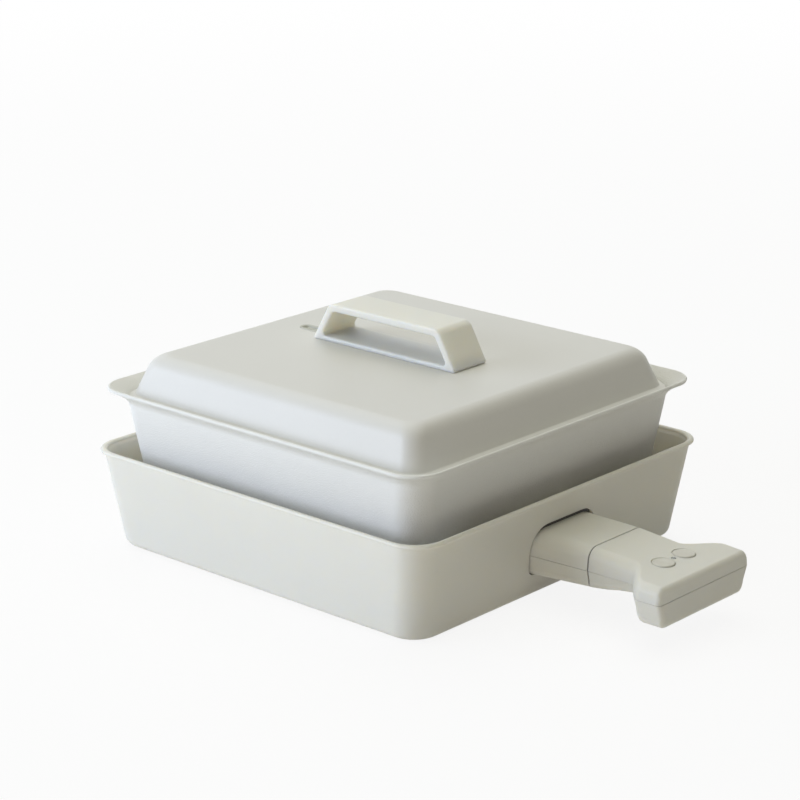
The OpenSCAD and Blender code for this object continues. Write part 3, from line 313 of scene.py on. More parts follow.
# Posts for the deck's screws and bosses for the cover's screws stand on the floor, sunk into it a little.
# The exact cut below drops most of them, not the same ones each run. Two holes take rivets.
deck_z = 26.3
deck_half = 120.971
post_inset = 17
post_r = 3.6
post_low = floor_top - 0.4
pilot_r = 1.51
deck_posts = []
for i in range(8):
    a = math.radians(90 * (i // 2))
    x = deck_half - post_inset
    y = (-1) ** i * deck_half / 2
    deck_posts.append((x * math.cos(a) - y * math.sin(a), x * math.sin(a) + y * math.cos(a)))
post = [(post_r, post_low), (post_r, deck_z), (pilot_r, deck_z), (pilot_r, post_low)]
for place in deck_posts:
    turned(bm, post, place, 24, True)
cover_ring_r = 80.5
boss_r = 4
boss_low = 3.2
boss_top = 8.7
boss_edge = 0.4
cover_screw_ring = [(cover_ring_r * math.cos(i * math.pi / 3), cover_ring_r * math.sin(i * math.pi / 3))
                    for i in range(6)]
for place in cover_screw_ring:
    turned(bm, [(boss_r, boss_low), (boss_r, boss_top - boss_edge), (boss_r - boss_edge, boss_top),
                (pilot_r, boss_top), (pilot_r, boss_low)], place, 24, True)
base = settle(bm, "base", cream_plastic)
rivet_places = [(111.37, -20), (111.37, 20)]
rivet_r = 1.96
rivet_head_r = 3.26
rivet_head_z = 3.3
rivet_end = 5.5
bm = bmesh.new()
for place in rivet_places:
    turned(bm, [(0, 0), (rivet_head_r, 0), (rivet_head_r, rivet_head_z), (rivet_r, rivet_head_z),
                (rivet_r, rivet_end), (0, rivet_end)], place, 24)
rivet_cutter = settle(bm, "rivet_cutter", cream_plastic)

# The window follows the stub all round, with a wider gap and wide round corners above it.
window_low = 15.1
window_mid = 28.5
window_top = 44.8
window_sides = [(-27.6, window_low), (27.6, window_low), (29.3, window_mid), (28.6, window_top),
                (-28.6, window_top), (-29.3, window_mid)]
window_low_r = 5
window_top_r = 13.4


def window_face(bm, grow, depth, x=None):
    """The outline of the window, grown, at the depth behind the outside of the wall or at x. A negative
    growth brings its top and underside together, but still moves its sides out."""
    rise = {window_low: -grow, window_mid: 0, window_top: grow}
    sides = [(y + math.copysign(grow, y), z + rise[z]) for y, z in window_sides]
    low_r = window_low_r + grow
    top_r = window_top_r + grow
    corners = [(x or wall_half(z) - depth, y, z) for y, z in sides]
    return outline(bm, corners, (low_r, low_r, 0, top_r, top_r, 0))


window_cut_x = 112
window_cut_l = 20
bm = bmesh.new()
push(bm, [window_face(bm, 0, 0, window_cut_x)], (window_cut_l, 0, 0))
cut(base, [rivet_cutter, settle(bm, "window_cutter", cream_plastic)])
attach(base, "base")
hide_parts("outer_shell")


# Bottom cover, heat shield and tang: zinc-coated sheet steel, pressed and left bare, with the fine rolling
# lines and the soft patches of the coating. The tang is riveted to the floor and carries the stub.
def dress(finish, slot, *names):
    """Gives solids that keep their shape a finish. The slot is not used."""
    for name in names:
        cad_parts[name].data.materials.clear()
        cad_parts[name].data.materials.append(finish)


zinc, shader, at = new_finish("zinc_sheet", {"Metallic": 1.0})
stretched = at.add("ShaderNodeMapping", {}, {"Vector": at, "Scale": (40, 1400, 900)})
lines = cloud(stretched, 1.0, 3)
spangle = at.add("ShaderNodeTexVoronoi", {}, {"Vector": at, "Scale": 140}, "Color")
patches = at.add("ShaderNodeSeparateColor", {}, {"Color": spangle}, "Red")
coating = 0.65 * lines + 0.35 * patches
plug(shader, "Base Color", coating.between(shade(154, 156, 156), shade(194, 195, 193)))
plug(shader, "Roughness", 0.32 + 0.1 * patches + 0.1 * lines)
relief(shader, lines, 0.00002)
dress(zinc, "sheet_steel", "bottom_cover", "heat_shield", "handle_tang")


# Screws: turned steel, zinc plated, with a cross in each head. Pan heads hold the bottom cover from below.
# The same steel makes the standoffs of the heating plate, the rivets, the spring, the clip and the pins.
steel, shader, at = new_finish("plated_steel", {"Metallic": 1.0})
worn = cloud(at, 700, 3)
plug(shader, "Base Color", worn.between(shade(172, 173, 172), shade(205, 205, 202)))
plug(shader, "Roughness", 0.24 + 0.2 * cloud(at, 260))
relief(shader, worn, 0.00001)
dress(steel, "screw_steel", "plate_standoffs", "tang_rivets", "sensor_clip")


def screws(name, body, node, places, sizes, sunk=False):
    """Like screws, with sizes of shank radius, length, head radius and head height. Pan heads hang below
    their places, and countersunk heads have their tops there."""
    shank_r, length, head_r, head_h = sizes
    tip = 0.4
    if sunk:
        profile = [(0, 0), (head_r - 0.15, 0), (head_r, -0.12), (shank_r, -head_h), (shank_r, tip - length),
                   (shank_r - tip, -length), (0, -length)]
    else:
        profile = [(0, -head_h), (0.6 * head_r, -head_h), (0.88 * head_r, -0.86 * head_h),
                   (head_r, -0.5 * head_h), (head_r, 0), (shank_r, 0), (shank_r, length - tip),
                   (shank_r - tip, length), (0, length)]
    bm = bmesh.new()
    turned(bm, profile, steps=24)
    pattern = settle(bm, name + "_pattern", steel)
    cross_l = 1.3 * head_r
    cross_w = 0.32 * head_r
    cutters = []
    for size in ((cross_l, cross_w), (cross_w, cross_l)):
        bm = bmesh.new()
        bmesh.ops.create_cube(bm, size=1)
        bmesh.ops.scale(bm, vec=(*size, 1.1 * head_h), verts=bm.verts)
        bmesh.ops.translate(bm, vec=(0, 0, 0 if sunk else -head_h), verts=bm.verts)
        cutters.append(settle(bm, name + "_cross", steel))
    cut(pattern, cutters)
    bm = bmesh.new()
    for i, place in enumerate(places):
        before = set(bm.verts)
        bm.from_mesh(pattern.data)
        added = [v for v in bm.verts if v not in before]
        bmesh.ops.scale(bm, vec=(1000, 1000, 1000), verts=added)
        bmesh.ops.rotate(bm, cent=(0, 0, 0), matrix=Matrix.Rotation(0.7 * i, 3, "Z"), verts=added)
        bmesh.ops.translate(bm, vec=place, verts=added)
    bpy.data.objects.remove(pattern)
    piece = settle(bm, name, steel)
    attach(piece, body)
    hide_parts(node)


cover_low = 1.6
screws("cover_fixings", "base", "cover_screws", [(x, y, cover_low) for x, y in cover_screw_ring],
       (1.45, 5.1, 2.8, 1.1))


# Heating plate: an aluminium casting, faced on a lathe so that fine rings show on its top. A tubular
# element lies in a groove under it, and four countersunk screws hold it on standoffs.
def turned_metal(name, dark, light, scale, rough):
    """Aluminium with the fine rings of a lathe round the middle line."""
    finish, shader, at = new_finish(name, {"Metallic": 1.0})
    values = {"Vector": at, "Scale": scale, "Distortion": 0.6, "Detail": 2.0, "Detail Scale": 3.0}
    rings = at.add("ShaderNodeTexWave", {"wave_type": "RINGS", "rings_direction": "Z"}, values, "Fac")
    stain = cloud(at, 22, 3)
    plug(shader, "Base Color", (0.4 * rings + 0.6 * stain).between(dark, light))
    plug(shader, "Roughness", rough + 0.14 * stain + 0.06 * rings)
    relief(shader, rings, 0.00003)
    return finish


cast = turned_metal("faced_casting", shade(150, 150, 148), shade(186, 186, 183), 160, 0.34)
sheath, shader, at = new_finish("element_sheath", {"Metallic": 0.85})
heat = cloud(at, 55, 3)
plug(shader, "Base Color", heat.between(shade(92, 86, 80), shade(138, 118, 98)))
plug(shader, "Roughness", 0.42 + 0.2 * cloud(at, 500))
relief(shader, cloud(at, 900, 3), 0.00003)
dress(sheath, "element_sheath", "heating_element")

plate_half = 84
plate_top = 29.5
plate_low = 21.5
plate_corner = 24
plate_inset = 20
bore_r = 11.4
bore_edge_r = 12.2
element_r = 58
element_groove_z = 20.7
element_groove_r = 3.45
groove_edge = math.degrees(math.asin((plate_low - element_groove_z) / element_groove_r))
edges = ((0, plate_low), (0, plate_top - 0.9), (0.3, plate_top - 0.3), (1, plate_top),
         (plate_inset, plate_top))
circles = [(bore_edge_r, plate_top), (bore_r, plate_top - 0.6), (bore_r, plate_low)]
circles += arc(element_r, element_groove_z, element_groove_r, 180 - groove_edge, groove_edge, 12)
bm = bmesh.new()
loops = [rounded_loop(bm, plate_half - inset, z, plate_corner - inset) for inset, z in edges]
loops += [round_loop(bm, radius, z) for radius, z in circles]
loops.append(rounded_loop(bm, plate_half - plate_inset, plate_low, plate_corner - plate_inset))
loft(bm, loops, closed=True)
plate = settle(bm, "plate", cast)
screw_half = 72
sink_z = plate_top - 0.6
sink_low = 18
sink_r = 4.06
sink_bore_r = 2.01
plate_screw_places = [(x, y, sink_z) for x in (-screw_half, screw_half) for y in (-screw_half, screw_half)]
sinks = bmesh.new()
for x, y, z in plate_screw_places:
    turned(sinks, [(0, sink_low), (sink_bore_r, sink_low), (sink_bore_r, z - 2), (sink_r, z), (sink_r, z + 3),
                   (0, z + 3)], (x, y), 26)
cut(plate, [settle(sinks, "sink_cutter", cast)])
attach(plate, "base")
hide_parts("heating_plate")
screws("plate_fixings", "base", "plate_screws", plate_screw_places, (1.95, 27.1, 4, 2), sunk=True)


# Temperature sensor: a turned aluminium cap with a domed edge, in a guide that is screwed under the plate.
# A coil of steel wire pushes it up through the plate against the pot. The coil is drawn at one length.
cap_metal = turned_metal("cap_metal", shade(176, 176, 173), shade(206, 206, 203), 420, 0.26)
dress(cap_metal, "cast_aluminium", "sensor_guide")
cap_top = 29.2
cap_dent = cap_top - 0.25
cap_r = 11
cap_low = 27.2
stem_r = 6
stem_low = 7.6
stem_edge = 0.3
clip_r = 5.2
clip_low = 8.2
clip_top = 9.2
bm = bmesh.new()
turned(bm, [(0, cap_top), (2.6, cap_top), (2.9, cap_dent), (3.3, cap_dent), (3.6, cap_top), (9.6, cap_top),
            (10.5, cap_dent), (cap_r, cap_top - 0.8), (cap_r, 27.5), (10.7, cap_low), (stem_r, cap_low),
            (stem_r, clip_top), (clip_r, clip_top), (clip_r, clip_low), (stem_r, clip_low),
            (stem_r, stem_low + stem_edge), (stem_r - stem_edge, stem_low), (0, stem_low)], steps=64)
cap = settle(bm, "sensor_button", cap_metal)
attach(cap, "sensor")
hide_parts("sensor_cap")

coil_r = 8.3
wire_r = 0.55
coil_turns = 3
coil_low = plate_low
coil_top = 27.18
coil_steps = 36 * coil_turns
rise = (coil_top - coil_low - 2 * wire_r) / coil_steps
bm = bmesh.new()
lay = Matrix.Translation((coil_r, 0, coil_low + wire_r)) @ Matrix.Rotation(math.pi / 2, 4, "X")
bmesh.ops.create_circle(bm, cap_ends=False, radius=wire_r, segments=10, matrix=lay)
bmesh.ops.spin(bm, geom=list(bm.verts) + list(bm.edges), cent=(0, 0, 0), axis=(0, 0, 1), dvec=(0, 0, rise),
               angle=math.tau * coil_turns, steps=coil_steps)
bmesh.ops.holes_fill(bm, edges=[e for e in bm.edges if e.is_boundary])
coil = settle(bm, "sensor_coil", steel)
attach(coil, "base")
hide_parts("sensor_spring")
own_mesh(coil)
guide_ring_r = 15
guide_low = 19.9
guide_angles = [i * math.tau / 3 for i in range(3)]
screws("guide_fixings", "base", "guide_screws",
       [(guide_ring_r * math.cos(a), guide_ring_r * math.sin(a), guide_low) for a in guide_angles],
       (1.3, 5.1, 2.3, 1.2))


# Cut-outs and leads: fired ceramic bushes on the element's ends and round the fuse, a thermostat in dark
# phenolic, and two leads in silicone sleeves, one red and one blue.
ceramic, shader, at = new_finish("fired_ceramic", {"Specular IOR Level": 0.4})
speck = cloud(at, 900, 4, 0.7)
plug(shader, "Base Color", speck.between(shade(214, 206, 190), shade(240, 235, 222)))
plug(shader, "Roughness", 0.55 + 0.25 * cloud(at, 200))
relief(shader, speck, 0.00005)
dress(ceramic, "terminal_ceramic", "element_terminals", "thermal_fuse")

dark_plastic = moulded("dark_plastic", shade(66, 64, 60), 1200, 0.00006, 0.5)
dress(dark_plastic, "dark_plastic", "thermostat")

sleeve, shader, at = new_finish("lead_sleeve", {"Specular IOR Level": 0.35})
across = at.add("ShaderNodeSeparateXYZ", {}, {"Vector": at}, "Y")
weave = cloud(at, 1600, 2)
which = at.add("ShaderNodeMath", {"operation": "GREATER_THAN"}, {0: across, 1: 0.0})
dyed = which.between(shade(66, 104, 156), shade(178, 72, 58))
plug(shader, "Base Color", at.add("ShaderNodeMix", {"data_type": "RGBA", "blend_type": "MULTIPLY"},
                                  {0: 0.25 * weave, 6: dyed, 7: (0.5, 0.5, 0.5, 1)}, 2))
plug(shader, "Roughness", 0.5 + 0.2 * weave)
relief(shader, weave, 0.00004)
dress(sleeve, "lead_sleeve", "lead_wires")


# Deck: a thin plate of painted sheet that closes the base round the heating plate. Eight countersunk
# screws hold it on its posts.
def sprayed(name, colour, grain, depth, rough, coat):
    """A sprayed coat on metal: an even colour, a stipple of fine drops and a soft sheen."""
    finish, shader, at = new_finish(name, {"Specular IOR Level": 0.45, "Coat Roughness": 0.4})
    drops = cloud(at, grain, 3, 0.55)
    flow = cloud(at, 14, 2)
    light = [value * 1.02 for value in colour[:3]] + [1.0]
    dark = [value * 0.95 for value in colour[:3]] + [1.0]
    plug(shader, "Base Color", (0.6 * flow + 0.4 * drops).between(dark, light))
    plug(shader, "Roughness", rough - 0.1 + 0.12 * drops + 0.08 * flow)
    plug(shader, "Coat Weight", coat * flow)
    relief(shader, drops, depth)
    return finish


deck_t = 1.2
dress(sprayed("deck_paint", shade(206, 204, 196), 700, 0.00008, 0.5, 0.1), "cream_deck", "deck_plate")
screws("deck_fixings", "base", "deck_screws", [(x, y, deck_z + deck_t) for x, y in deck_posts],
       (1.45, 9, 2.6, 1.2), sunk=True)


# Inner pot: drawn aluminium, sprayed inside and out with a pale ceramic coat that dries to a fine sandy
# stipple on its walls. Its lip flares out and ends in a small round bead.
pot_coat = sprayed("pot_coat", shade(233, 233, 229), 1250, 0.0004, 0.48, 0.1)
pot_half = 126.4
pot_top = 99
pot_low = 29.5
pot_wall = 2
pot_corner = 16
pot_edge = 10
pot_draw = 8
lip_low = 88
lip_out = 9.6
lip_spread = 0.3
lip_steps = 16
lip_bead_r = 1
crease_d = 0.3
pot_lean = pot_draw / (lip_low - pot_low)
pot_tilt = math.atan(pot_lean)


def pot_wall_half(z):
    """Half-width of the pot over the outside of its wall at height z."""
    return pot_half - lip_out - (lip_low - z) * pot_lean


def bend(start, middle, end, t):
    """A point of a curve from start to end, drawn towards the middle."""
    return [a * (1 - t) ** 2 + b * 2 * t * (1 - t) + c * t * t for a, b, c in zip(start, middle, end)]


def lip_corner(half):
    """Corner radius of the lip, which grows as the lip flares."""
    return pot_corner + lip_spread * max(0, half - pot_wall_half(lip_low))


bend_z = lip_low + 0.45 * (pot_top - lip_low)
bend_half = pot_wall_half(bend_z)
pot_mid = pot_wall_half(pot_low + pot_edge * (1 - math.sin(pot_tilt))) - pot_edge * math.cos(pot_tilt)
bowl_edge = pot_edge - pot_wall
bowl_low = pot_low + pot_wall
bowl_mid = (pot_wall_half(bowl_low + bowl_edge * (1 - math.sin(pot_tilt))) - pot_wall
            - bowl_edge * math.cos(pot_tilt))
rings = [(half, z, pot_corner - pot_edge + half - pot_mid)
         for half, z in arc(pot_mid, pot_low + pot_edge, pot_edge, -90, -math.degrees(pot_tilt), 12)]
lip_start = (pot_wall_half(lip_low), lip_low)
lip_end = (pot_half - 0.3, pot_top - 2)
lip = [bend(lip_start, (bend_half, bend_z), lip_end, i / lip_steps) for i in range(lip_steps + 1)]
crease = {10: crease_d, 11: crease_d}
rings += [(half - crease.get(i, 0), z, lip_corner(half)) for i, (half, z) in enumerate(lip)]
rings += [(half, z, lip_corner(half))
          for half, z in arc(pot_half - lip_bead_r, pot_top - lip_bead_r, lip_bead_r, -10, 120, 8)]
lip_start = (pot_half - 2, pot_top - 0.3)
lip_end = (pot_wall_half(lip_low - 1) - pot_wall, lip_low - 1)
lip = [bend(lip_start, (bend_half - pot_wall, bend_z), lip_end, i / lip_steps)
       for i in range(1, lip_steps + 1)]
rings += [(half, z, lip_corner(half) - pot_wall) for half, z in lip]
rings += [(half, z, pot_corner - pot_wall - bowl_edge + half - bowl_mid)
          for half, z in arc(bowl_mid, bowl_low + bowl_edge, bowl_edge, -math.degrees(pot_tilt), -90, 10)]
bm = bmesh.new()
loops = [rounded_loop(bm, half, z, corner) for half, z, corner in rings]
loft(bm, loops, kept=(loops[0], loops[-1]))
pot = settle(bm, "pot", pot_coat)
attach(pot, "inner_pot")
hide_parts("inner_pot")


# Lid: a shallow pressed cover with flat sloping sides and a tight bend to its top, sprayed in the same pale
# coat. Its seating rim sits down inside the lip of the pot, and a slot by the bridge takes the steam vent.
lid_coat = sprayed("lid_coat", shade(217, 216, 211), 520, 0.00005, 0.46, 0.16)
lid_half = 116.262
lid_low = 92.078
lid_top = 117.5
lid_wall = 2
lid_foot = 112.662
lid_foot_z = 94.078
shoulder_r = 11
shoulder_mid = 96.434
shoulder_z = lid_top - shoulder_r
lid_lean = 20
lid_corner = 12
lid_top_corner = 8
rim_corner = 15.6
rim_edge = 0.6
vent_x = -70
slot_l = 16.1
slot_w = 7.1


def lid_corner_at(half):
    """Corner radius of the lid's outside, from its foot to its top."""
    return lid_corner + (lid_top_corner - lid_corner) * (lid_foot - half) / (lid_foot - shoulder_mid)


def slot_shape(bm, length, width, x, low, high):
    """An upright bar with round ends along X, centred at x on the middle line."""
    made = bmesh.ops.create_cone(bm, cap_ends=True, segments=48, radius1=width / 2, radius2=width / 2,
                                 depth=high - low, matrix=Matrix.Translation((x, 0, (low + high) / 2)))
    for vert in made["verts"]:
        vert.co.x += math.copysign((length - width) / 2, vert.co.x - x)


rings = [(half, z, lid_corner_at(half) - lid_wall * (half - shoulder_mid) / (lid_foot - shoulder_mid))
         for half, z in arc(shoulder_mid, shoulder_z, shoulder_r - lid_wall, 90, lid_lean, 16)]
rings += [(lid_foot - lid_wall, lid_low + 1.1, 10), (lid_foot - 1.4, lid_low + 0.3, 11),
          (lid_foot + 0.6, lid_low, 14), (lid_half - rim_edge, lid_low + 0.05, rim_corner - 0.4),
          (lid_half, lid_low + rim_edge, rim_corner), (lid_half, lid_foot_z - rim_edge, rim_corner),
          (lid_half - rim_edge, lid_foot_z - 0.1, rim_corner - 0.4), (lid_foot + 0.8, lid_foot_z + 0.2, 13.5),
          (lid_foot + 0.1, lid_foot_z + 0.9, lid_corner + 0.1)]
rings += [(half, z, lid_corner_at(half))
          for half, z in arc(shoulder_mid, shoulder_z, shoulder_r, lid_lean, 90, 24)]
bm = bmesh.new()
loops = [rounded_loop(bm, half, z, corner) for half, z, corner in rings]
loft(bm, loops, kept=(loops[0], loops[-1]))
lid = settle(bm, "lid", lid_coat)
bm = bmesh.new()
slot_shape(bm, slot_l, slot_w, vent_x, lid_top - 4, lid_top + 2)
cut(lid, [settle(bm, "slot_cutter", lid_coat)])
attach(lid, "lid")
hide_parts("lid_shell")


# Bridge handle: a closed loop of flat strip, moulded in cream plastic with rounded edges, and screwed to
# the top of the lid from inside. Light shines through its strip a little.
bridge_plastic = moulded("bridge_plastic", shade(226, 225, 217), 1800, 0.00003, 0.44, 0.8, 0.014)
bridge_w = 29
bridge_h = 23.5
bridge_edge = 1.1
foot_hl = 56
top_hl = 42.5
strip = 4.5
bar = 3
bridge_lean = (foot_hl - top_hl) / bridge_h
side = strip * math.sqrt(1 + bridge_lean ** 2)
low_hl = foot_hl - bar * bridge_lean - side
high_hl = foot_hl - (bridge_h - strip) * bridge_lean - side
foot_z = lid_top + 0.03
bar_z = lid_top + bar
bridge_top = lid_top + bridge_h
strip_z = bridge_top - strip
y = -bridge_w / 2
bm = bmesh.new()
outer = outline(bm, [(-foot_hl, y, foot_z), (foot_hl, y, foot_z), (top_hl, y, bridge_top),
                     (-top_hl, y, bridge_top)], (1.5, 1.5, 6, 6))
inner = outline(bm, [(-low_hl, y, bar_z), (low_hl, y, bar_z), (high_hl, y, strip_z), (-high_hl, y, strip_z)],
                (2, 2, 2.5, 2.5))
loft(bm, [outer, inner])
push(bm, list(bm.faces), (0, bridge_w, 0))
bmesh.ops.recalc_face_normals(bm, faces=bm.faces)
rims = [e for e in bm.edges if len(e.link_faces) == 2 and e.calc_face_angle() > 1.2
        and abs(e.verts[0].co.y - e.verts[1].co.y) < 0.01]
bmesh.ops.bevel(bm, geom=rims, offset=bridge_edge, offset_type="OFFSET", segments=4, profile=0.5,
                affect="EDGES", clamp_overlap=True, material=-1)
bridge = settle(bm, "bridge", bridge_plastic)
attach(bridge, "lid")
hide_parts("lid_handle")
bridge_screw_x = 38.81
screws("bridge_fixings", "lid", "lid_handle_screws",
       [(x, 0, lid_top - lid_wall) for x in (-bridge_screw_x, bridge_screw_x)], (1.6, 4.2, 4, 1.8))


# Steam vent: a grommet of grey silicone pressed into the slot of the lid, with a thin rounded flange on top
# and a thin web across its throat. Steam leaves by a row of fine holes in the web.
def slot_loop(bm, length, width, z):
    """A level oblong with round ends along X at the vent, as one face."""
    face = round_loop(bm, width / 2, z, 48)
    for vert in face.verts:
        vert.co.x += math.copysign((length - width) / 2, vert.co.x) + vent_x
    return face


def bores(places, radius, low, high, finish=cream_plastic, steps=40):
    """A cutter of upright round bars, in the finish that its bores get."""
    bm = bmesh.new()
    for place in places:
        turned(bm, [(0, low), (radius, low), (radius, high), (0, high)], place, steps)
    return settle(bm, "bore_cutter", finish)


silicone, shader, at = new_finish("vent_silicone", {"Specular IOR Level": 0.35})
bloom = cloud(at, 240, 3)
plug(shader, "Base Color", bloom.between(shade(186, 186, 177), shade(202, 202, 193)))
plug(shader, "Roughness", 0.6 + 0.2 * bloom)
relief(shader, cloud(at, 1800, 2), 0.00003)
vent_straight = 9
vent_rings = ((16, -lid_wall), (16, -0.05), (18, 0.02), (18, 0.2), (17.7, 0.4), (17.2, 0.5), (14.9, 0.46),
              (14.3, 0.3), (14, 0), (13.7, -0.5), (13.2, -0.7))
bm = bmesh.new()
loops = [slot_loop(bm, length, length - vent_straight, lid_top + rise) for length, rise in vent_rings]
loft(bm, loops, kept=(loops[0], loops[-1]))
vent = settle(bm, "vent", silicone)
hole_r = 0.5
hole_pitch = 2
holes = [(vent_x + hole_pitch * i, 0) for i in range(-2, 3)]
cut(vent, [bores(holes, hole_r, lid_top - 3, lid_top + 1, silicone, 16)])
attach(vent, "lid")
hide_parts("vent_grommet")


# Stub: two half shells of cream plastic, closed round the tang that comes through the window of the
# base. They meet in a level seam, and end at the joint line of the control handle.
seam_z = 28.5
seam_gap = 0.3
shell_wall = 2.3
top_inset = 1
waist = 5
waist_r = 3
under_r = 4.6
joint_x = 162
joint_half = 26
joint_top = 41.5
joint_under = 17.5
joint_corner = 7
joint_tuck = 1.5
stub_x0 = 113.87
stub_wall_x = 124.07
stub_mid_x = 145


def upper_outline(bm, x, half, top, corner):
    """The upper half's outline at x, from the seam over its rounded top."""
    low = seam_z + seam_gap / 2
    corner = min(corner, top - low - 1)
    corners = [(x, half, low), (x, half - top_inset, top), (x, top_inset - half, top), (x, -half, low)]
    return outline(bm, corners, (0, corner, corner, 0))


def lower_outline(bm, x, half, under, tuck):
    """The lower half's outline at x, from the seam round its tucked underside."""
    high = seam_z - seam_gap / 2
    foot = half - tuck
    corners = [(x, -half, high), (x, -foot, under + waist), (x, -foot, under), (x, foot, under),
               (x, foot, under + waist), (x, half, high)]
    return outline(bm, corners, (0, waist_r, under_r, under_r, waist_r, 0))


def half_shell(name, sections, upper, capped):
    """A hollow half over sections of place, half-width, top, underside, top corner and tuck."""
    bm = bmesh.new()
    faces = [upper_outline(bm, x, half, top, corner) if upper else lower_outline(bm, x, half, under, tuck)
             for x, half, top, under, corner, tuck in sections]
    loft(bm, faces, kept=faces[-1:] if capped else ())
    level = seam_z + (seam_gap / 2 if upper else -seam_gap / 2)
    bmesh.ops.delete(bm, geom=[f for f in bm.faces if all(abs(v.co.z - level) < 0.001 for v in f.verts)],
                     context="FACES")
    piece = settle(bm, name, cream_plastic)
    piece.modifiers.clear()
    shell = piece.modifiers.new("wall", "SOLIDIFY")
    shell.thickness = shell_wall / 1000
    shell.offset = -1
    shell.use_even_offset = True
    return piece


stub_sections = []
for x in (stub_x0, stub_wall_x, stub_mid_x, joint_x):
    back = (joint_x - x) / (joint_x - stub_wall_x)
    stub_sections.append((x, joint_half + 2.5 * back, joint_top + 0.9 * back, joint_under - 1.8 * back,
                          joint_corner + 5 * back, joint_tuck))

# A dark seal lies in the window, a little behind the outside of the wall. Its dark plastic is painted shade:
# it stands in for the shadow in the gap round the stub. It closes the gap above and below the stub, but not
# at the stub's sides and corners.
shade_seal_edges = ((0.2, 1.1), (0.2, 2.1), (-3, 2.2), (-3, 1.2))
bm = bmesh.new()
loft(bm, [window_face(bm, grow, depth) for grow, depth in shade_seal_edges], closed=True)
window_shade_seal = settle(bm, "window_shade_seal", dark_plastic)
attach(window_shade_seal, "base")


def bosses(name, body, tubes):
    """Tubes that guide screws from below: place, foot, seat of the head, top, bores and outer radius."""
    bm = bmesh.new()
    for place, low, seat, top, head_r, shank_r, outer_r in tubes:
        turned(bm, [(head_r, low), (outer_r, low), (outer_r, top), (shank_r, top), (shank_r, seat),
                    (head_r, seat)], place, 40, True)
    piece = settle(bm, name, cream_plastic)
    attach(piece, body)


stub_screw_places = [(131.04, -8), (131.04, 8)]
stub_bore_r = 2.75
stub_seat = 21.5
for name, upper in (("stub_upper", True), ("stub_lower", False)):
    stub = half_shell(name, stub_sections, upper, False)
    cut(stub, [] if upper else [bores(stub_screw_places, stub_bore_r, 10, 20)])
    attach(stub, "base")
    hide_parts(name + "_shell")
bosses("stub_bosses", "base",
       [(place, 17.2, stub_seat, 23.9, stub_bore_r, pilot_r, post_r) for place in stub_screw_places])
screws("stub_fixings", "base", "stub_screws", [(x, y, stub_seat) for x, y in stub_screw_places],
       (1.45, 12.5, 2.6, 1.8))


# Contacts: three turned brass pins with rounded tips, held in a block of dark plastic in the end of the
# stub. They slide into brass sleeves in a like block in the handle.
brass, shader, at = new_finish("turned_brass", {"Metallic": 1.0})
tarnish = cloud(at, 180, 3)
turning = cloud(at.add("ShaderNodeMapping", {}, {"Vector": at, "Scale": (2600, 60, 60)}), 1.0, 2)
plug(shader, "Base Color", tarnish.between(shade(190, 158, 92), shade(222, 190, 120)))
plug(shader, "Roughness", 0.2 + 0.2 * tarnish)
relief(shader, turning, 0.00001)
dress(dark_plastic, "dark_plastic", "pin_carrier", "socket_block")
dress(brass, "contact_brass", "socket_contacts")


def rods(name, body, node, finish, places, radius, length, turn):
    """Round pins with domed tips, turned over from upright and moved to their places."""
    bm = bmesh.new()
    for place in places:
        before = set(bm.verts)
        turned(bm, [(0, 0), (radius, 0)] + arc(0, length - radius, radius, 0, 90, 6), steps=24)
        added = [v for v in bm.verts if v not in before]
        bmesh.ops.rotate(bm, cent=(0, 0, 0), matrix=turn, verts=added)
        bmesh.ops.translate(bm, vec=place, verts=added)
    piece = settle(bm, name, finish)
    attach(piece, body)
    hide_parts(node)


pin_x = 144
pin_z = 29.25
pin_r = 2
pin_l = 30
pin_pitch = 9
rods("plug_pins", "base", "contact_pins", brass,
     [(pin_x, pin_pitch * i, pin_z) for i in (-1, 0, 1)], pin_r, pin_l, Matrix.Rotation(math.pi / 2, 3, "Y"))


# Control handle: two half shells of the same plastic, a neck that flares into a wide flat grip. It
# carries two push buttons, a light and the power inlet, and plugs on to the stub by three pins.
handle_x0 = 162.8
handle_l = 60
neck_l = 27
neck_half = 25
neck_under = 21
neck_tuck = 2.5
grip_t = 14
grip_half = 42
grip_under = 13.5
grip_corner = 5.5
grip_tuck = 3.5
end_r = 3
top_drop = 4
flare_x0 = handle_x0 + neck_l
flare_x1 = handle_x0 + handle_l - grip_t


def ease(t):
    """0 to 1 with a slow start and end."""
    return t * t * (3 - 2 * t)


def part_way(start, end, t):
    return start + (end - start) * t


def handle_top(x):
    """Height of the handle's top, which falls a little towards the grip."""
    return joint_top - top_drop * (x - handle_x0) / handle_l


handle_sections = []
for i in range(4):
    t = i / 3
    x = handle_x0 + neck_l * t
    handle_sections.append((x, part_way(joint_half, neck_half, t), handle_top(x),
                            part_way(joint_under, neck_under, ease(t)), joint_corner,
                            part_way(joint_tuck, neck_tuck, t)))
for i in range(1, 15):
    t = i / 14
    x = part_way(flare_x0, flare_x1, t)
    handle_sections.append((x, part_way(neck_half, grip_half, ease(t)), handle_top(x),
                            part_way(neck_under, grip_under, ease(t)), part_way(joint_corner, grip_corner, t),
                            part_way(neck_tuck, grip_tuck, t)))
for i in range(9):
    a = math.radians(90 * i / 8)
    x = handle_x0 + handle_l - end_r * (1 - math.sin(a))
    drop = end_r * (1 - math.cos(a))
    handle_sections.append((x, grip_half - drop, handle_top(x) - drop, grip_under + drop, grip_corner,
                            grip_tuck))

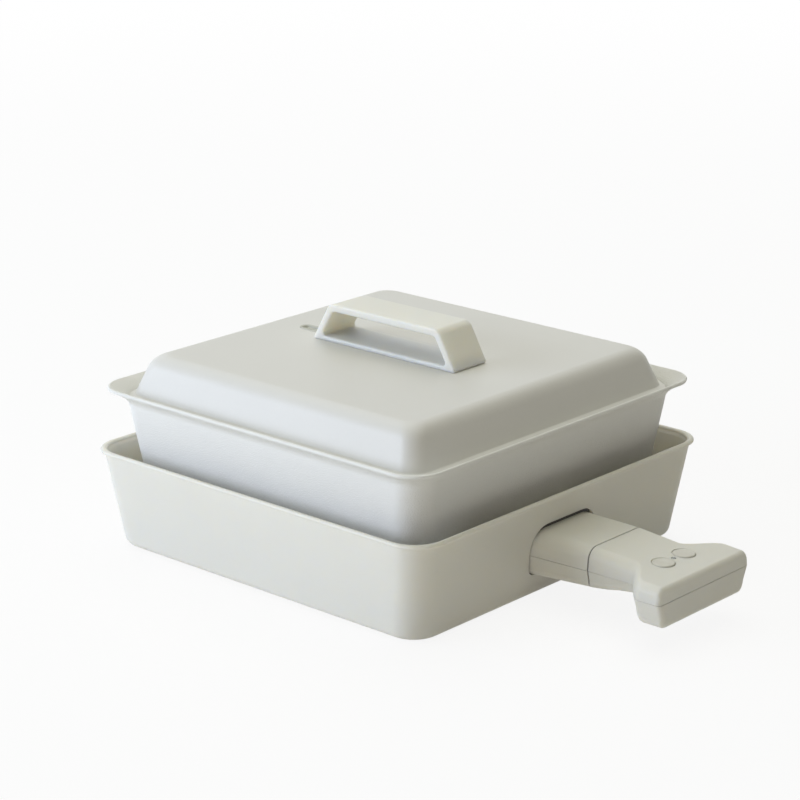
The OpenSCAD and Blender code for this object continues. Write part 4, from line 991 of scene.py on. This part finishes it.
button_x = 201.4
button_y = 9.5
button_places = [(button_x, -button_y), (button_x, button_y)]
button_bore_r = 6.8
guide_bore_r = 1.56
bore_low = 32
bore_top = 46
neck_screws = [(185.3, 17.4), (185.3, -17.4)]
grip_screws = [(216.6, -34.4), (216.6, 4)]
handle_bore_r = 2.35
handle_seat = 24.6
handle_boss_top = 28.3
handle_pilot_r = 1.26
handle_boss_r = 3
inlet_x = 214.5
inlet_z = 27.5
inlet_w = 10.2
inlet_h = 10


def inlet_box(low, high):
    """A box over the power inlet, reaching from low to high along Y."""
    bm = bmesh.new()
    bmesh.ops.create_cube(bm, size=1)
    bmesh.ops.scale(bm, vec=(inlet_w, high - low, inlet_h), verts=bm.verts)
    bmesh.ops.translate(bm, vec=(inlet_x, (low + high) / 2, inlet_z), verts=bm.verts)
    return bm


for name, upper in (("handle_upper", True), ("handle_lower", False)):
    grip = half_shell(name, handle_sections, upper, True)
    cutters = [settle(inlet_box(34, 46), "inlet_cutter", cream_plastic)]
    if upper:
        cutters.append(bores(button_places, button_bore_r, bore_low, bore_top))
        cutters.append(bores([(button_x, 0)], guide_bore_r, bore_low, bore_top))
    else:
        cutters.append(bores(neck_screws, handle_bore_r, 10, 23.5))
        cutters.append(bores(grip_screws, handle_bore_r, 10, 17))
    cut(grip, cutters)
    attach(grip, "handle")
    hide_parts(name + "_shell")
tubes = [(place, 22.1) for place in neck_screws] + [(place, 14.9) for place in grip_screws]
bosses("handle_bosses", "handle", [(place, low, handle_seat, handle_boss_top, handle_bore_r, handle_pilot_r,
                                    handle_boss_r) for place, low in tubes])
screws("handle_fixings", "handle", "handle_screws",
       [(x, y, handle_seat) for x, y in neck_screws + grip_screws], (1.2, 8.1, 2.2, 1.6))


# Joint seal: a thin dark gasket stuck on the end of the handle, a little inside its outline. Its dark plastic
# is painted shade: it makes the dark line of shadow in the joint between the handle and the stub.
shade_seal_x0 = 162.12
shade_seal_out = 0.45
shade_seal_in = 2.1
bm = bmesh.new()
shade_seal_loops = []
for x, inset in ((shade_seal_x0, shade_seal_out), (handle_x0, shade_seal_out), (handle_x0, shade_seal_in), (shade_seal_x0, shade_seal_in)):
    half = joint_half - inset
    top = joint_top - inset
    under = joint_under + inset
    foot = joint_half - joint_tuck - inset
    low_r = under_r - inset
    top_r = joint_corner - inset
    corners = [(x, -half, seam_z), (x, -foot, under + waist), (x, -foot, under), (x, foot, under),
               (x, foot, under + waist), (x, half, seam_z), (x, half - top_inset, top),
               (x, top_inset - half, top)]
    shade_seal_loops.append(outline(bm, corners, (0, waist_r, low_r, low_r, waist_r, 0, top_r, top_r)))
loft(bm, shade_seal_loops, closed=True)
shade_gasket = settle(bm, "joint_shade_seal", dark_plastic)
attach(shade_gasket, "handle")


# Push buttons and light: two round buttons of cream plastic with a shallow dish and a flange that keeps
# them under the top, over switches on a small board. A clear light guide shows between them.
button_plastic = moulded("button_plastic", shade(214, 212, 203), 1600, 0.00003, 0.38)
button_top = 39.427
button_low = 33.7
button_r = 6.5
flange_r = 7.4
flange_top = 34.9
dish = [(0, 0.5), (2, 0.47), (3.6, 0.36), (4.9, 0.1), (5.5, 0), (6.1, 0.15), (6.42, 0.5), (button_r, 1)]
profile = [(radius, button_top - depth) for radius, depth in dish]
profile += [(button_r, flange_top), (flange_r, flange_top), (flange_r, button_low), (0, button_low)]
for name, body, place in (("power_key", "power_button", button_places[0]),
                          ("level_key", "level_button", button_places[1])):
    bm = bmesh.new()
    turned(bm, profile, place, 64)
    key = settle(bm, name, button_plastic)
    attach(key, body)
    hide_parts(body)
dress(dark_plastic, "dark_plastic", "button_switches")

mask, shader, at = new_finish("solder_mask", {"Specular IOR Level": 0.5})
tracks = at.add("ShaderNodeTexBrick", {}, {"Vector": at, "Scale": 260, "Mortar Size": 0.03}, "Fac")
plug(shader, "Base Color", tracks.between(shade(52, 98, 68), shade(96, 134, 92)))
plug(shader, "Roughness", 0.3 + 0.2 * cloud(at, 400))
relief(shader, tracks, 0.00002)
dress(mask, "board_green", "control_board")

clear, shader, at = new_finish("light_guide", {"Roughness": 0.12, "IOR": 1.49, "Transmission Weight": 0.75})
haze = cloud(at, 700, 2)
plug(shader, "Base Color", haze.between(shade(222, 232, 222), shade(238, 244, 238)))
relief(shader, haze, 0.00001)
guide_r = 1.5
guide_z0 = 30.4
bm = bmesh.new()
turned(bm, [(0, guide_z0), (guide_r, guide_z0), (guide_r, 38.7), (1.3, 38.93), (0.8, 39.01), (0, 39.03)],
       (button_x, 0), 32)
guide = settle(bm, "light_guide", clear)
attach(guide, "handle")
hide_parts("indicator_lens")


# Power inlet: a moulded block of dark plastic let into the +Y end of the grip, with a deep mouth and two
# steel pins inside it. Its mouth follows the slope of the grip's end.
inlet_y0 = 21
inlet_y1 = 41.4
inlet_wall = 1.5
mouth_d = 17.4
bm = inlet_box(inlet_y0, inlet_y1)
mouth = next(f for f in bm.faces if f.normal.y > 0.9)
bmesh.ops.inset_region(bm, faces=[mouth], thickness=inlet_wall)
push(bm, [mouth], (0, -mouth_d, 0))
bmesh.ops.delete(bm, geom=[mouth], context="FACES_ONLY")
for vert in bm.verts:
    if vert.co.y > 41:
        vert.co.y = 41.2 if vert.co.z > inlet_z else 39.3
bmesh.ops.recalc_face_normals(bm, faces=bm.faces)
rims = [e for e in bm.edges if e.calc_face_angle() > 0.5]
bmesh.ops.bevel(bm, geom=rims, offset=0.35, offset_type="OFFSET", segments=3, profile=0.5, affect="EDGES",
                clamp_overlap=True, material=-1)
inlet = settle(bm, "inlet", dark_plastic)
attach(inlet, "handle")
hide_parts("power_inlet")
prong_r = 1.15
prong_l = 16.4
prong_dz = 2
rods("inlet_prongs", "handle", "inlet_pins", steel,
     [(inlet_x, inlet_y0, inlet_z - prong_dz), (inlet_x, inlet_y0, inlet_z + prong_dz)], prong_r, prong_l,
     Matrix.Rotation(-math.pi / 2, 3, "X"))


# Studio: a plain pale floor that the camera sees as white, whiter still further off, and four soft boxes: a
# wide cool window low at the left, a weak warm one in front and two large ones overhead. The camera
# stands at the photo's angle. Lamps and camera are placed in metres.
backdrop = bpy.data.materials.new("backdrop")
backdrop.use_nodes = True
backdrop.node_tree.nodes.clear()
wire = Wire(backdrop.node_tree)


def direct_look(wire):
    """1 for rays that the camera, a gloss or a clear piece sends out, 0 for light that bounces."""
    kinds = ("Camera", "Glossy", "Transmission")
    looks = [wire.add("ShaderNodeLightPath", {}, {}, f"Is {kind} Ray") for kind in kinds]
    return wire.add("ShaderNodeMath", {"operation": "ADD", "use_clamp": True},
                    {0: looks[0] + looks[1], 1: looks[2]})


look = direct_look(wire)
bounced = (0.9, 0.88, 0.83, 1)
seen = (0.95, 0.95, 0.95, 1)
white = (1, 1, 1, 1)
matt = wire.add("ShaderNodeBsdfDiffuse", {}, {"Color": look.between(bounced, seen)})
glow = wire.add("ShaderNodeEmission", {}, {"Color": white, "Strength": 1.0})
at = wire.add("ShaderNodeTexCoord", {}, {}, "Object")
away = wire.add("ShaderNodeVectorMath", {"operation": "LENGTH"}, {0: at}, "Value")
share = wire.add("ShaderNodeMapRange", {"interpolation_type": "SMOOTHSTEP"},
                 {"Value": away, "From Min": 0.4, "From Max": 2.2, "To Min": 0.88, "To Max": 1.0})
mixed = wire.add("ShaderNodeMixShader", {}, {0: share * look, 1: matt, 2: glow})
wire.add("ShaderNodeOutputMaterial", {}, {"Surface": mixed}, None)
bm = bmesh.new()
bmesh.ops.create_grid(bm, x_segments=1, y_segments=1, size=4000)
floor = settle(bm, "floor", backdrop)

world = bpy.data.worlds.new("studio")
bpy.context.scene.world = world
world.use_nodes = True
sky = world.node_tree.nodes["Background"]
dim = (0.08, 0.08, 0.08, 1)
plug(sky, "Color", direct_look(Wire(world.node_tree)).between(dim, white))


pot_middle = Vector((0, 0, 0.06))


def soft_box(name, place, width, height, power, colour):
    """A soft box of the given width and height at its place, aimed at the pot."""
    lamp = bpy.data.lights.new(name, "AREA")
    lamp.shape = "RECTANGLE"
    lamp.size = width
    lamp.size_y = height
    lamp.energy = power
    lamp.color = colour
    box = bpy.data.objects.new(name, lamp)
    box.location = place
    box.rotation_euler = (pot_middle - Vector(place)).to_track_quat("-Z", "Y").to_euler()
    bpy.context.scene.collection.objects.link(box)


soft_box("window_light", (-1.165, -1.546, 0.56), 1.9, 1.0, 34.5, (0.745, 0.83, 1.0))
soft_box("front_light", (1.136, -1.622, 0.4), 1.0, 0.66, 3.8, (1.0, 0.88, 0.8))
soft_box("back_light", (-0.643, 0.766, 1.792), 2.2, 2.2, 17.5, (0.95, 0.97, 1.0))
soft_box("ceiling_light", (0, -0.07, 2.06), 3.0, 3.0, 18.5, (1.0, 0.98, 0.72))

azimuth = math.radians(41.79)
elevation = math.radians(18.5)
distance = 1.5005
aim = Vector((0, 0, rim_z / 1000))
back = Vector((math.sin(azimuth) * math.cos(elevation), -math.cos(azimuth) * math.cos(elevation),
               math.sin(elevation)))
camera = bpy.data.cameras.new("camera")
camera.sensor_width = 36
camera.lens = 113.7
camera.shift_x = 0.0015
camera.shift_y = 0.051
stand = bpy.data.objects.new("camera", camera)
stand.location = aim + distance * back
stand.rotation_euler = (-back).to_track_quat("-Z", "Y").to_euler()
bpy.context.scene.collection.objects.link(stand)
bpy.context.scene.camera = stand
bpy.context.scene.view_settings.view_transform = "Standard"
